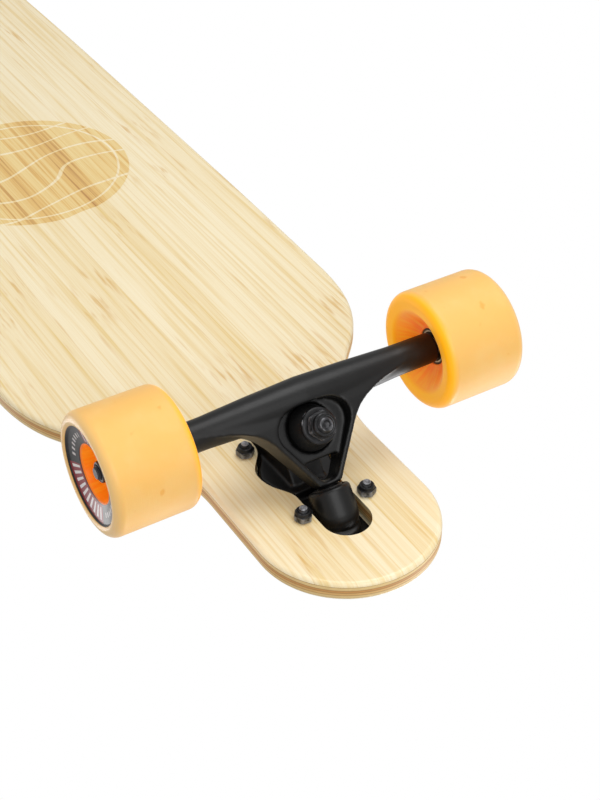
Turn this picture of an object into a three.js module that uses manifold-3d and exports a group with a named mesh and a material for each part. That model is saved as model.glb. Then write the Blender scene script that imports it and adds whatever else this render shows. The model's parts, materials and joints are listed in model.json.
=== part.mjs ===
// A drop-through bamboo longboard with two reverse-kingpin trucks, standing on its four wheels.
// Millimetres. +X runs along the board to the nose, +Y to the rider's left, +Z up.
// The origin lies on the ground, midway between the two ends of the board and on its centre line.
import * as THREE from "three";
import { mergeVertices } from "three/addons/utils/BufferGeometryUtils.js";
import Module from "manifold-3d";

const wasm = await Module();
wasm.setup();

// ---------------------------------------------------------------- driving dimensions

const WHEEL = { radius: 35, width: 51, lip: 5, recess: 24.5, print: 19.5, seat: 11.25, segments: 28 };
const BEARING = { bore: 4, inner: 6, raceway: 9, outer: 11, width: 7, gap: 10 };
const HANGER_WIDTH = 175; // over the two ends that the bearings run against
const HUB_OFFSET = 2.5; // the bearings sit this far inboard of the wheel's middle
const SPEED_WASHER = 1; // room for the thin washer beside each bearing
const AXLE_RADIUS = 3.95;
const AXLE_STUB = 11; // how far the axle sticks out beyond the outboard bearing
const AXLE_DROP = 51; // from the deck's underside down to the axle
const AXLE_SETBACK = 6; // from the middle of the bolt pattern in towards the middle of the board

const DECK = { length: 1050, halfWidth: 120.65, thickness: 12, veneer: 2.2, round: 3 };
const NOSE_RADIUS = 53.5;
const GRIP = { thickness: 0.9, inset: 4 };
const BOLT_PATTERN = { x: 63.5 / 2, y: 41.3 / 2 }; // half spacings
const BOLT_HOLE = 2.8; // radius, in the deck and in the baseplate
const NOSE_OVERHANG = 95; // from the middle of the bolt pattern to the tip

const STEER_ANGLE = THREE.MathUtils.degToRad(50); // the pivot axis against the deck
const KINGPIN_TO_AXLE = 18; // along the pivot axis
const RAKE = 5; // the axle beyond the pivot axis
const GAP = 0.3; // between pieces that rest on each other

const UNDERSIDE = WHEEL.radius + AXLE_DROP; // height of the deck's underside
const TRUCK_X = DECK.length / 2 - NOSE_OVERHANG; // middle of each bolt pattern
const HUB_MIDDLE = HANGER_WIDTH / 2 + SPEED_WASHER + BEARING.width + BEARING.gap / 2;

// ---------------------------------------------------------------- finishes

const finish = (color, roughness, metalness = 0) =>
  new THREE.MeshStandardMaterial({ color, roughness, metalness });

const bamboo = finish(0xecd6a0, 0.45);
const core = finish(0xb98b58, 0.6);
const grit = finish(0x1c1c1c, 0.95);
const castBlack = finish(0x161616, 0.42, 0.3);
const steelBlack = finish(0x1d1e20, 0.35, 0.8);
const steelBright = finish(0xb9bcc0, 0.25, 1);
const rubberBlack = finish(0x141414, 0.6);
const urethane = finish(0xf8b54e, 0.4);

// ---------------------------------------------------------------- shapes and booleans

// A closed three.js geometry as a solid that can be joined and cut.
function solid(geometry) {
  const bare = geometry.index ? geometry.toNonIndexed() : geometry.clone();
  for (const name of ["normal", "uv"]) bare.deleteAttribute(name);
  const merged = mergeVertices(bare, 1e-4);
  const triVerts = new Uint32Array(merged.index.array);
  const vertProperties = new Float32Array(merged.attributes.position.array);
  const made = new wasm.Manifold(new wasm.Mesh({ numProp: 3, vertProperties, triVerts }));
  if (made.volume() >= 0) return made;
  for (let i = 0; i < triVerts.length; i += 3)
    [triVerts[i + 1], triVerts[i + 2]] = [triVerts[i + 2], triVerts[i + 1]];
  return new wasm.Manifold(new wasm.Mesh({ numProp: 3, vertProperties, triVerts }));
}

const join = (first, ...others) => others.reduce((sum, next) => sum.add(next), first);
const cut = (first, ...others) => others.reduce((rest, next) => rest.subtract(next), first);

// A named mesh of a solid.
function piece(name, made, material) {
  const { vertProperties, triVerts, numProp, numVert } = made.getMesh();
  const positions = new Float32Array(numVert * 3);
  for (let i = 0; i < numVert; i++)
    positions.set(vertProperties.subarray(i * numProp, i * numProp + 3), i * 3);
  const geometry = new THREE.BufferGeometry()
    .setAttribute("position", new THREE.BufferAttribute(positions, 3))
    .setIndex(new THREE.BufferAttribute(triVerts, 1));
  geometry.computeVertexNormals();
  const mesh = new THREE.Mesh(geometry, material);
  mesh.name = name;
  return mesh;
}

// An outline in X and Y, extruded from one height to another.
const prism = (shape, low, high, curveSegments = 8) =>
  new THREE.ExtrudeGeometry(shape, { depth: high - low, bevelEnabled: false, curveSegments })
    .translate(0, 0, low);

// An outline drawn in X and Z, extruded across Y by a half width each way.
const sidePlate = (points, halfWidth) =>
  prism(new THREE.Shape(points.map(([x, z]) => new THREE.Vector2(x, z))), -halfWidth, halfWidth)
    .rotateX(Math.PI / 2);

// A profile of [radius, distance along the axis] turned about Y, Z or X.
function turned(profile, segments, axis = "z", start = Math.PI / segments) {
  const points = profile.map(([radius, along]) => new THREE.Vector2(radius, along));
  const geometry = new THREE.LatheGeometry(points, segments, start);
  if (axis === "z") geometry.rotateX(Math.PI / 2);
  if (axis === "x") geometry.rotateZ(-Math.PI / 2);
  return geometry;
}

const rod = (radius, low, high, segments = 24, axis = "z") =>
  turned([[0, low], [radius, low], [radius, high], [0, high]], segments, axis);

const ring = (inside, outside, low, high, segments = 20, axis = "z") =>
  turned([[inside, low], [outside, low], [outside, high], [inside, high], [inside, low]], segments, axis);

const hexagon = (acrossFlats, low, high) => rod(acrossFlats / Math.sqrt(3), low, high, 6);

// ---------------------------------------------------------------- deck

// Half of one end's outline, on the +Y side, from the straight middle out to the tip.
function endOutline(inset) {
  const x = (fromBolts) => TRUCK_X + fromBolts;
  const edge = new THREE.Path();
  edge.moveTo(x(-330), DECK.halfWidth);
  edge.bezierCurveTo(x(-260), DECK.halfWidth, x(-215), 119.4, x(-176), 119);
  edge.bezierCurveTo(x(-142), 118.6, x(-116), 112, x(-94), 91);
  edge.bezierCurveTo(x(-74), 72, x(-52), NOSE_RADIUS + 0.5, x(-14), NOSE_RADIUS);
  edge.lineTo(x(NOSE_OVERHANG - NOSE_RADIUS), NOSE_RADIUS);
  edge.absarc(x(NOSE_OVERHANG - NOSE_RADIUS), 0, NOSE_RADIUS, Math.PI / 2, 0, true);
  const points = edge.getPoints(4);
  return points.map((p, i) => {
    const before = points[Math.max(i - 1, 0)];
    const after = points[Math.min(i + 1, points.length - 1)];
    const atTip = i === points.length - 1;
    const along = atTip ? new THREE.Vector2(0, -1) : after.clone().sub(before).normalize();
    return new THREE.Vector2(p.x + along.y * inset, p.y - along.x * inset);
  });
}

// The whole outline, moved in by an inset: the end's half outline mirrored to the other three corners.
function deckOutline(inset) {
  const quarter = endOutline(inset);
  const mirrored = quarter.slice(0, -1).reverse().map((p) => new THREE.Vector2(p.x, -p.y));
  const nose = [...quarter, ...mirrored];
  return [...nose, ...nose.map((p) => new THREE.Vector2(-p.x, -p.y))];
}

// A layer of the deck, lofted through [inset, height] rings, with a flat face at each end.
function layer(rings) {
  const outlines = rings.map(([inset]) => deckOutline(inset));
  const count = outlines[0].length;
  const positions = [];
  const corner = (ringIndex, i) => {
    const p = outlines[ringIndex][i % count];
    positions.push(p.x, p.y, rings[ringIndex][1]);
  };
  const last = rings.length - 1;
  for (const [a, b, c] of THREE.ShapeUtils.triangulateShape(outlines[0], []))
    for (const i of [a, c, b]) corner(0, i);
  for (const [a, b, c] of THREE.ShapeUtils.triangulateShape(outlines[last], []))
    for (const i of [a, b, c]) corner(last, i);
  for (let r = 0; r < last; r++)
    for (let i = 0; i < count; i++)
      for (const [up, side] of [[0, 0], [1, 1], [0, 1], [0, 0], [1, 0], [1, 1]]) corner(r + up, i + side);
  return solid(
    new THREE.BufferGeometry().setAttribute("position", new THREE.Float32BufferAttribute(positions, 3)),
  );
}

// The cut-out that a truck drops through, in the truck's own X and Y.
function cutout() {
  const narrow = 15;
  const neck = 12.8;
  const wing = 24.8;
  const shape = new THREE.Shape();
  shape.moveTo(16, -narrow);
  shape.lineTo(43, -narrow);
  shape.absarc(43, 0, narrow, -Math.PI / 2, Math.PI / 2, false);
  shape.lineTo(16, narrow);
  shape.bezierCurveTo(7, narrow, 4, wing, -11, wing);
  shape.bezierCurveTo(-22, wing, -25, neck, -37, neck);
  shape.absarc(-40, 0, neck, Math.PI / 2, 1.5 * Math.PI, false);
  shape.lineTo(-37, -neck);
  shape.bezierCurveTo(-25, -neck, -22, -wing, -11, -wing);
  shape.bezierCurveTo(4, -wing, 7, -narrow, 16, -narrow);
  return shape;
}

const FLANGE = { back: -58, front: 51, halfWidth: 29.5, corner: 12, thickness: 5.2 };

// The outline of the baseplate's flange, grown or shrunk by a margin.
function flangeOutline(margin = 0) {
  const { corner } = FLANGE;
  const back = FLANGE.back - margin + corner;
  const front = FLANGE.front + margin - corner;
  const side = FLANGE.halfWidth + margin - corner;
  const shape = new THREE.Shape();
  shape.absarc(front, side, corner, 0, Math.PI / 2, false);
  shape.absarc(back, side, corner, Math.PI / 2, Math.PI, false);
  shape.absarc(back, -side, corner, Math.PI, 1.5 * Math.PI, false);
  shape.absarc(front, -side, corner, 1.5 * Math.PI, 2 * Math.PI, false);
  return shape;
}

const boltPlaces = [1, -1].flatMap((x) => [1, -1].map((y) => [x * BOLT_PATTERN.x, y * BOLT_PATTERN.y]));

// What both trucks take out of the deck: the cut-out and the bolt holes.
function deckCuts() {
  const low = UNDERSIDE - 5;
  const high = UNDERSIDE + DECK.thickness + 5;
  return [0, Math.PI].flatMap((turn) => [
    solid(prism(cutout(), low, high, 3).translate(TRUCK_X, 0, 0).rotateZ(turn)),
    ...boltPlaces.map(([x, y]) =>
      solid(rod(BOLT_HOLE, low, high, 8).translate(TRUCK_X + x, y, 0).rotateZ(turn))),
  ]);
}

function deck() {
  const cuts = deckCuts();
  const top = UNDERSIDE + DECK.thickness;
  const { veneer, round } = DECK;
  const lower = layer([[round, UNDERSIDE], [round * 0.3, UNDERSIDE + round * 0.3], [0, UNDERSIDE + veneer]]);
  const middle = layer([[0, UNDERSIDE + veneer], [0, top - veneer]]);
  const upper = layer([[0, top - veneer], [round * 0.3, top - round * 0.3], [round, top]]);
  const tape = layer([[GRIP.inset, top], [GRIP.inset, top + GRIP.thickness]]);
  const windows = [0, Math.PI].map((turn) =>
    solid(prism(flangeOutline(1.5), top - 5, top + 5, 2).translate(TRUCK_X, 0, 0).rotateZ(turn)));
  return [
    piece("deck_bottom_veneer", cut(lower, ...cuts), bamboo),
    piece("deck_core", cut(middle, ...cuts), core),
    piece("deck_top_veneer", cut(upper, ...cuts), bamboo),
    piece("grip_tape", cut(tape, ...windows), grit),
  ];
}

// ---------------------------------------------------------------- truck
// A truck is drawn hanging down: X points out to the end of the board and Z down, away from the deck,
// with the origin at the middle of the bolt pattern on the deck's underside.
// Its steering parts are drawn in a frame that is tilted by the steer angle about Y and starts where the
// kingpin crosses the pivot axis: X runs along the pivot axis to the pivot, and Z along the kingpin.

const KINGPIN = { radius: 4.76, headTop: -33, head: 6, tip: 26.5, nut: 7.5 };
const BUSHING = { radius: 13.2, bore: 5.1, roadside: 13.2, boardside: 14.2 };
const WASHER = { roadside: 10.4, boardside: 12.6, thickness: 1.5 };
const WEB = 2.5; // half the thickness of the hanger where the bushings clamp it
const PIVOT = { pin: 5.6, cupInside: 5.9, cupOutside: 8.4, mouth: 34.8, bottom: 50.5 };
const BOSS = { radius: 12.3, straight: 51, dome: 10.5 }; // its straight part ends where the dome begins
const WING = 68; // how far the yoke's taper reaches along the hanger's tube

const steer = new THREE.Matrix4().makeRotationY(STEER_ANGLE);
const axleFromKingpin = new THREE.Vector3(-KINGPIN_TO_AXLE, 0, RAKE).applyMatrix4(steer);
steer.setPosition(new THREE.Vector3(-AXLE_SETBACK, 0, AXLE_DROP).sub(axleFromKingpin));

// A point of the tilted frame in the truck's X and Z.
function tilted(x, z) {
  const p = new THREE.Vector3(x, 0, z).applyMatrix4(steer);
  return [p.x, p.z];
}

// The hanger: the axle's tube, the yoke round the kingpin and the pivot pin, in the tilted frame.
function hanger() {
  const end = HANGER_WIDTH / 2;
  const tube = turned(
    [[0, -end], [8.9, -end], [9.1, -60], [10.6, -30], [11.6, 0], [10.6, 30], [9.1, 60], [8.9, end],
      [0, end]],
    24, "y",
  ).translate(-KINGPIN_TO_AXLE, 0, RAKE);

  const outline = new THREE.Shape();
  outline.moveTo(-20, -WING);
  outline.lineTo(-16.5, -WING);
  outline.bezierCurveTo(-11, -46, -9, -34, 2, -26);
  outline.lineTo(PIVOT.mouth - 2, -7);
  outline.lineTo(PIVOT.mouth - 2, 7);
  outline.lineTo(2, 26);
  outline.bezierCurveTo(-9, 34, -11, 46, -16.5, WING);
  outline.lineTo(-20, WING);
  const side = sidePlate(
    [[-24, 0], [-14, -3.5], [0, -6.5], [24, -6], [PIVOT.mouth, -5.5], [PIVOT.mouth, 6.5], [12, 10.5],
      [-8, 14.3], [-18, 14.1], [-24, 10]],
    WING + 1,
  );
  const yoke = solid(prism(outline, -20, 20, 6)).intersect(solid(side));
  const seat = rod(16.4, -5, 5, 28);
  const pin = turned([[0, 26], [PIVOT.pin, 26], [PIVOT.pin, 44], [4.2, 47.5], [0, 48.6]], 20, "x");

  const pocket = new THREE.Shape();
  pocket.moveTo(-14, -8);
  pocket.bezierCurveTo(-13, -19, -6, -25, 3, -21.5);
  pocket.lineTo(29, -5.4);
  pocket.bezierCurveTo(32, -3, 32, 3, 29, 5.4);
  pocket.lineTo(3, 21.5);
  pocket.bezierCurveTo(-6, 25, -13, 19, -14, 8);
  const window = new THREE.Shape();
  window.moveTo(17.8, -11.6);
  window.lineTo(28.3, -5.1);
  window.bezierCurveTo(31, -3, 31, 3, 28.3, 5.1);
  window.lineTo(17.8, 11.6);
  return cut(
    join(solid(tube), yoke, solid(seat), solid(pin)),
    solid(prism(pocket, 5, 30, 5)),
    solid(prism(window, -20, 20, 4)),
    solid(rod(14, WEB, 30, 24)),
    solid(rod(14, -30, -WEB, 24)),
    solid(rod(6.8, -30, 30, 16)),
    solid(rod(AXLE_RADIUS + GAP, -end - 5, end + 5, 12, "y").translate(-KINGPIN_TO_AXLE, 0, RAKE)),
  );
}

// The baseplate: a flange on the deck's top, and a tower and a pivot boss through its cut-out.
function baseplate() {
  const top = -DECK.thickness - GAP;
  const bottom = top - FLANGE.thickness;
  const flange = prism(flangeOutline(), bottom, top, 3);
  const skirt = new THREE.Shape();
  skirt.moveTo(10, -12);
  skirt.bezierCurveTo(5, -13, 2, -22.5, -11, -22.5);
  skirt.bezierCurveTo(-20, -22.5, -23, -11, -34, -11);
  skirt.lineTo(-44, -10);
  skirt.lineTo(-44, 10);
  skirt.lineTo(-34, 11);
  skirt.bezierCurveTo(-23, 11, -20, 22.5, -11, 22.5);
  skirt.bezierCurveTo(2, 22.5, 5, 13, 10, 12);
  const foot = new THREE.Shape();
  foot.moveTo(5, -11);
  foot.lineTo(38, -11);
  foot.absarc(38, 0, 11, -Math.PI / 2, Math.PI / 2, false);
  foot.lineTo(5, 11);
  const seatLevel = -WEB - BUSHING.boardside - WASHER.thickness - 0.3;
  const tower = sidePlate(
    [[-45, top - 1], [-45, 2], [-40, 17], tilted(-13, seatLevel - 9), tilted(-13, seatLevel),
      tilted(13, seatLevel), [6, -4], [6, top - 1]],
    10.6,
  );
  const seat = rod(14, seatLevel - 9, seatLevel, 24).applyMatrix4(steer);
  const { mouth } = PIVOT;
  const dome = [0, 0.25, 0.5, 0.75].map((t) => [
    BOSS.radius * Math.cos((t * Math.PI) / 2),
    BOSS.straight + BOSS.dome * Math.sin((t * Math.PI) / 2),
  ]);
  const boss = turned(
    [[0, mouth], [BOSS.radius - 1, mouth], [BOSS.radius, mouth + 1.2], ...dome,
      [0, BOSS.straight + BOSS.dome]],
    24, "x",
  ).applyMatrix4(steer);
  const length = FLANGE.front - FLANGE.back;
  const keep = new THREE.BoxGeometry(length, 80, 60)
    .translate(FLANGE.front - length / 2, 0, bottom + 30);
  const headRoom = sidePlate(
    [tilted(-8.8, KINGPIN.headTop), tilted(8.8, KINGPIN.headTop), [-18, bottom - 5], [-42, bottom - 5],
      [-42, 2], tilted(-8.8, KINGPIN.headTop - 8)],
    8.6,
  );
  const grown = join(
    solid(flange), solid(prism(skirt, bottom + 1, -2.5, 3)), solid(prism(foot, bottom + 1, -8, 4)),
    solid(tower), solid(seat), solid(boss),
  ).intersect(solid(keep));
  return cut(
    grown,
    solid(rod(PIVOT.cupOutside + 0.2, PIVOT.mouth - 5, PIVOT.bottom, 20, "x").applyMatrix4(steer)),
    solid(rod(KINGPIN.radius + 0.25, -60, 0, 20).applyMatrix4(steer)),
    solid(headRoom),
    ...boltPlaces.map(([x, y]) => solid(rod(BOLT_HOLE, -40, 10, 8).translate(x, y, 0))),
  );
}

// The urethane cup that the pivot pin turns in.
const pivotCup = () =>
  solid(turned(
    [[PIVOT.cupInside, PIVOT.mouth - 0.5], [PIVOT.cupOutside, PIVOT.mouth - 0.5],
      [PIVOT.cupOutside, PIVOT.bottom - 0.3], [0, PIVOT.bottom - 0.3], [0, 49.2],
      [4.8, 48.2], [PIVOT.cupInside, 44.3], [PIVOT.cupInside, PIVOT.mouth - 0.5]],
    20, "x",
  ));

const kingpin = () =>
  join(
    solid(hexagon(14.3, KINGPIN.headTop - KINGPIN.head, KINGPIN.headTop - 0.3)),
    solid(rod(KINGPIN.radius, KINGPIN.headTop - KINGPIN.head / 2, KINGPIN.tip, 20)),
  );

// A lock nut: a hexagon with the collar that holds its nylon ring.
function lockNut(acrossFlats, bore, height) {
  const collar = acrossFlats / 2 - 0.3;
  return cut(
    join(
      solid(hexagon(acrossFlats, 0, height * 0.72)),
      solid(turned([[0, 0], [collar, 0], [collar, height * 0.88], [collar - 1, height], [0, height]], 12)),
    ),
    solid(rod(bore, -1, height + 1, 12)),
  );
}

// The steering parts that the deck's side holds: kingpin, nut, washers and bushings, in the tilted frame.
function kingpinStack(end) {
  const roadWasher = WEB + BUSHING.roadside + 0.4;
  const boardWasher = -WEB - BUSHING.boardside - 0.15;
  const nutFrom = roadWasher + WASHER.thickness + 0.2;
  const nut = lockNut(14.3, KINGPIN.radius + 0.2, KINGPIN.nut);
  const cone = turned(
    [[BUSHING.bore, WEB + 0.2], [BUSHING.radius, WEB + 0.2], [BUSHING.radius, WEB + 4],
      [8.7, roadWasher - 0.2], [BUSHING.bore, roadWasher - 0.2], [BUSHING.bore, WEB + 0.2]],
    20,
  );
  const barrel = ring(BUSHING.bore, BUSHING.radius, boardWasher + 0.2, -WEB - 0.2);
  const cupWasher = turned(
    [[BUSHING.bore, roadWasher], [WASHER.roadside - 0.8, roadWasher],
      [WASHER.roadside - 0.7, roadWasher - 1.2], [WASHER.roadside, roadWasher - 1.2],
      [WASHER.roadside, roadWasher + WASHER.thickness],
      [BUSHING.bore, roadWasher + WASHER.thickness], [BUSHING.bore, roadWasher]],
    20,
  );
  const flatWasher = ring(BUSHING.bore, WASHER.boardside, boardWasher - WASHER.thickness, boardWasher);
  const group = new THREE.Group();
  group.add(
    piece(end + "_kingpin", kingpin(), steelBlack),
    piece(end + "_roadside_bushing", solid(cone), rubberBlack),
    piece(end + "_boardside_bushing", solid(barrel), rubberBlack),
    piece(end + "_roadside_washer", solid(cupWasher), steelBlack),
    piece(end + "_boardside_washer", solid(flatWasher), steelBlack),
    piece(end + "_pivot_cup", pivotCup(), rubberBlack),
    piece(end + "_hanger", hanger(), castBlack),
  );
  const nutMesh = piece(end + "_kingpin_nut", nut, steelBlack);
  nutMesh.position.z = nutFrom;
  group.add(nutMesh);
  return group;
}

// The four bolts, down through the flange and the deck, and their lock nuts on the underside.
function mountingBolts(end) {
  const head = -DECK.thickness - FLANGE.thickness - 2 * GAP;
  return boltPlaces.flatMap(([x, y], i) => {
    const bolt = piece(
      `${end}_mounting_bolt_${i + 1}`,
      cut(
        join(
          solid(turned(
            [[0, head - 2.8], [3.6, head - 2.8], [4.6, head - 1.4], [4.6, head], [0, head]], 12,
          )),
          solid(rod(2.4, head - 1, 8.5, 8)),
        ),
        solid(hexagon(3.2, head - 5, head - 1.2)),
      ),
      steelBlack,
    );
    const nut = piece(`${end}_mounting_nut_${i + 1}`, lockNut(9.5, 2.6, 6), steelBlack);
    bolt.position.set(x, y, 0);
    nut.position.set(x, y, GAP);
    return [bolt, nut];
  });
}

// ---------------------------------------------------------------- wheels and their running gear

// The wheel's section, from [radius, distance from its middle]: side -1 is inboard, +1 outboard.
function wheelProfile() {
  const { radius, width, lip, recess, print, seat, segments } = WHEEL;
  const tread = radius / Math.cos(Math.PI / segments); // so that the flats stand on the ground
  const half = width / 2;
  const seatFrom = BEARING.gap / 2 - 0.3;
  const seatEnd = BEARING.gap / 2 + BEARING.width + 0.3;
  const hub = -HUB_OFFSET;
  const corner = (side) =>
    [0, 0.5, 1].map((t) => [
      tread - lip + lip * Math.cos((t * Math.PI) / 2),
      side * (half - lip + lip * Math.sin((t * Math.PI) / 2)),
    ]);
  const shoulder = seat - 1.8;
  const inboard = [[recess, -half + 0.6], [17, hub - seatEnd - 3.2], [seat, hub - seatEnd]];
  const core = [[seat, hub - seatFrom], [shoulder, hub - seatFrom], [shoulder, hub + seatFrom],
    [seat, hub + seatFrom]];
  const outboard = [[seat, hub + seatEnd], [print - 1.5, hub + seatEnd + 5], [print, half - 3.2],
    [tread - lip, half - 0.3]];
  return [...inboard, ...core, ...outboard, ...corner(1).reverse(), ...corner(-1), inboard[0]];
}

function wheelParts(name, side) {
  const { bore, inner, raceway, outer, width, gap } = BEARING;
  const hub = side * HUB_MIDDLE;
  const along = (profile) => profile.map(([radius, y]) => [radius, hub + side * y]);
  const wheel = wheelProfile().map(([radius, y]) => [radius, y + HUB_OFFSET]);
  const near = gap / 2;
  const race = (from) =>
    solid(turned(along([[raceway, from], [outer, from], [outer, from + width], [raceway, from + width],
      [raceway, from]]), 24, "y"));
  const sleeve = [[bore + 0.15, -near - width], [inner, -near - width], [inner, -near], [inner - 0.8, -near],
    [inner - 0.8, near], [inner, near], [inner, near + width], [bore + 0.15, near + width],
    [bore + 0.15, -near - width]];
  const nut = lockNut(12.7, bore + 0.15, 8);
  const nutMesh = piece(name + "_axle_nut", nut, steelBright);
  nutMesh.rotation.x = (-side * Math.PI) / 2;
  nutMesh.position.y = hub + side * (near + width + SPEED_WASHER + GAP);
  return [
    piece(name + "_wheel", solid(turned(along(wheel), WHEEL.segments, "y")), urethane),
    piece(name + "_inboard_bearing", race(-near - width), steelBright),
    piece(name + "_outboard_bearing", race(near), steelBright),
    piece(name + "_bearing_sleeve", solid(turned(along(sleeve), 12, "y")), steelBright),
    nutMesh,
  ];
}

// The axle and what runs on it, in the truck's frame moved to the axle.
function runningGear(end) {
  const half = HUB_MIDDLE + BEARING.gap / 2 + BEARING.width + AXLE_STUB;
  const group = new THREE.Group();
  group.position.set(-AXLE_SETBACK, 0, AXLE_DROP);
  group.add(piece(end + "_axle", solid(rod(AXLE_RADIUS, -half, half, 12, "y")), steelBright));
  const hands = end === "front" ? ["right", "left"] : ["left", "right"];
  hands.forEach((hand, i) => group.add(...wheelParts(`${end}_${hand}`, i === 0 ? 1 : -1)));
  return group;
}

// ---------------------------------------------------------------- assembly

function truck(end) {
  const hung = new THREE.Group();
  const steering = kingpinStack(end);
  steering.applyMatrix4(steer);
  hung.add(piece(end + "_baseplate", baseplate(), castBlack), steering);
  hung.add(...mountingBolts(end), runningGear(end));
  hung.rotation.x = Math.PI;
  hung.position.set(TRUCK_X, 0, UNDERSIDE);
  const placed = new THREE.Group();
  placed.add(hung);
  if (end === "rear") placed.rotation.z = Math.PI;
  return placed;
}

const longboard = new THREE.Group();
longboard.name = "longboard";
longboard.add(...deck(), truck("front"), truck("rear"));

export default longboard;
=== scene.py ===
# %% [markdown]
# # A drop-through longboard
#
# This notebook dresses the working model of a longboard. The model gives every size, every place and
# every moving body. What is added here is what a maker would see and touch: a bamboo deck with a sanded,
# rounded edge, two cast trucks with soft corners, poured urethane wheels and their small hardware.


import json
import math

import bmesh
import bpy
from mathutils import Matrix, Vector


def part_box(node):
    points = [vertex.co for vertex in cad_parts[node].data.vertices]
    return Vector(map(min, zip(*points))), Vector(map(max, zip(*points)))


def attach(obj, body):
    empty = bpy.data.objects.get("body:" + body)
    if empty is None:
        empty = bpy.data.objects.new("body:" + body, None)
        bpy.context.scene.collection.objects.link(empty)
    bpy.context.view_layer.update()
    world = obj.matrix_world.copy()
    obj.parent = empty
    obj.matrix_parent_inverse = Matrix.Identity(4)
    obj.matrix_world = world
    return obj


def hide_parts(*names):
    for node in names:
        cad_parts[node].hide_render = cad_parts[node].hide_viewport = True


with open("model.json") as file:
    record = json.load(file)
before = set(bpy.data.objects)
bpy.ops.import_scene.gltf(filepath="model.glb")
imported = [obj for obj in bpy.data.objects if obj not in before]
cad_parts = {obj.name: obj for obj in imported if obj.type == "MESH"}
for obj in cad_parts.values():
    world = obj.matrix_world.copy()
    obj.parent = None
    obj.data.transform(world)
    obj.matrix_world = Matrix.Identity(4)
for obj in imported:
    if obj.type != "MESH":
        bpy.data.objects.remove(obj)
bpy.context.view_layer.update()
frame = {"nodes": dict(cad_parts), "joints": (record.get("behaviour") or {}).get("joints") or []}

MM = 0.001
ENDS = ("front", "rear")
HANDS = ("right", "left")
joints = {joint["name"]: joint for joint in frame["joints"]}


def middle(node):
    """The middle of a node's box."""
    low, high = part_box(node)
    return (low + high) / 2


def in_scene(name, data):
    """A new object with its data, linked to the scene."""
    made = bpy.data.objects.new(name, data)
    bpy.context.scene.collection.objects.link(made)
    return made


nut_places = [middle(f"front_mounting_nut_{i}") for i in (1, 2, 3, 4)]
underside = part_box("deck_bottom_veneer")[0].z
deck_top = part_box("deck_top_veneer")[1].z
bolts_x = sum(place.x for place in nut_places) / 4
axle_x, _, axle_z = joints["front_right_wheel_spin"]["pos_m"]

# %% [markdown]
# ## Camera, light and floor
#
# The board is looked at from below its nose and the camera is held upside down, so the wheels seem to
# point at the sky. A camera that only looks along a line leaves its roll free, so the roll is given as
# well. The floor would stand between this camera and the board. It could be left out, but the other views
# need it, so it is seen from above only, and it throws neither shadow nor light back at the board.


# %% Camera
VIEW_AZIMUTH = math.radians(31.35)
VIEW_ELEVATION = math.radians(-38.54)
VIEW_DISTANCE = 0.976
FOCAL_LENGTH = 73.74  # on a sensor 36 mm wide

aim = Vector((bolts_x - 58 * MM, -32 * MM, underside))
back = Vector((
    math.cos(VIEW_ELEVATION) * math.cos(VIEW_AZIMUTH),
    math.cos(VIEW_ELEVATION) * math.sin(VIEW_AZIMUTH),
    math.sin(VIEW_ELEVATION),
))
camera = in_scene("camera", bpy.data.cameras.new("camera"))
camera.data.lens = FOCAL_LENGTH
camera.data.clip_start = 0.01
camera.location = aim + back * VIEW_DISTANCE
camera.rotation_mode = "QUATERNION"
upright = (-back).to_track_quat("-Z", "Y")
camera.rotation_quaternion = upright @ Matrix.Rotation(math.pi, 4, "Z").to_quaternion()
bpy.context.scene.camera = camera
bpy.context.scene.view_settings.view_transform = "Standard"
print("camera at", [round(v, 3) for v in camera.location])


# %% [markdown]
# Three large soft lights stand round the board and a weak one stands beside the camera, so that no shadow
# is hard. The surround is white to the camera but dimmer as a light, because a fully white one would wash
# out the black parts.


# %% Lights and background
def softbox(name, place, target, size, watts):
    """A square area light that faces a target."""
    light = in_scene(name, bpy.data.lights.new(name, "AREA"))
    light.data.size = size
    light.data.energy = watts
    light.location = place
    light.rotation_mode = "QUATERNION"
    light.rotation_quaternion = (Vector(target) - Vector(place)).to_track_quat("-Z", "Y")


softbox("light_above", (0.9, -1.1, 1.9), (0, 0, 0.1), 1.6, 28)
softbox("light_behind", (-1.6, 1.3, 1.1), (0, 0, 0.1), 1.2, 14)
softbox("light_below", (0.25, -0.55, -1.7), (0.3, 0, 0.09), 1.2, 15)
softbox("light_beside_camera", aim + back * 1.3 + Vector((0.1, -0.4, 0.1)), aim, 0.9, 5.5)


def pale_world(seen, lighting):
    """A pale surround: one brightness for what the camera sees, and a lower one for what lights the board."""
    world = bpy.data.worlds.new("pale_surround")
    world.use_nodes = True
    nodes, link = world.node_tree.nodes, world.node_tree.links.new
    nodes.clear()
    mix = nodes.new("ShaderNodeMixShader")
    link(nodes.new("ShaderNodeLightPath").outputs["Is Camera Ray"], mix.inputs[0])
    for index, strength in ((1, lighting), (2, seen)):
        background = nodes.new("ShaderNodeBackground")
        background.inputs["Color"].default_value = (1, 1, 1, 1)
        background.inputs["Strength"].default_value = strength
        link(background.outputs[0], mix.inputs[index])
    link(mix.outputs[0], nodes.new("ShaderNodeOutputWorld").inputs["Surface"])
    return world


bpy.context.scene.world = pale_world(seen=1.0, lighting=0.52)
print("lights:", [light.name for light in bpy.data.lights])

# %% [markdown]
# Every finish here is procedural: worked out from noise and from where a point lies, so it needs no image
# and no unwrapping. Building such nodes by hand takes three lines each. The helpers below make it one,
# and they keep the effects in groups apart from the materials that use them.


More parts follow.
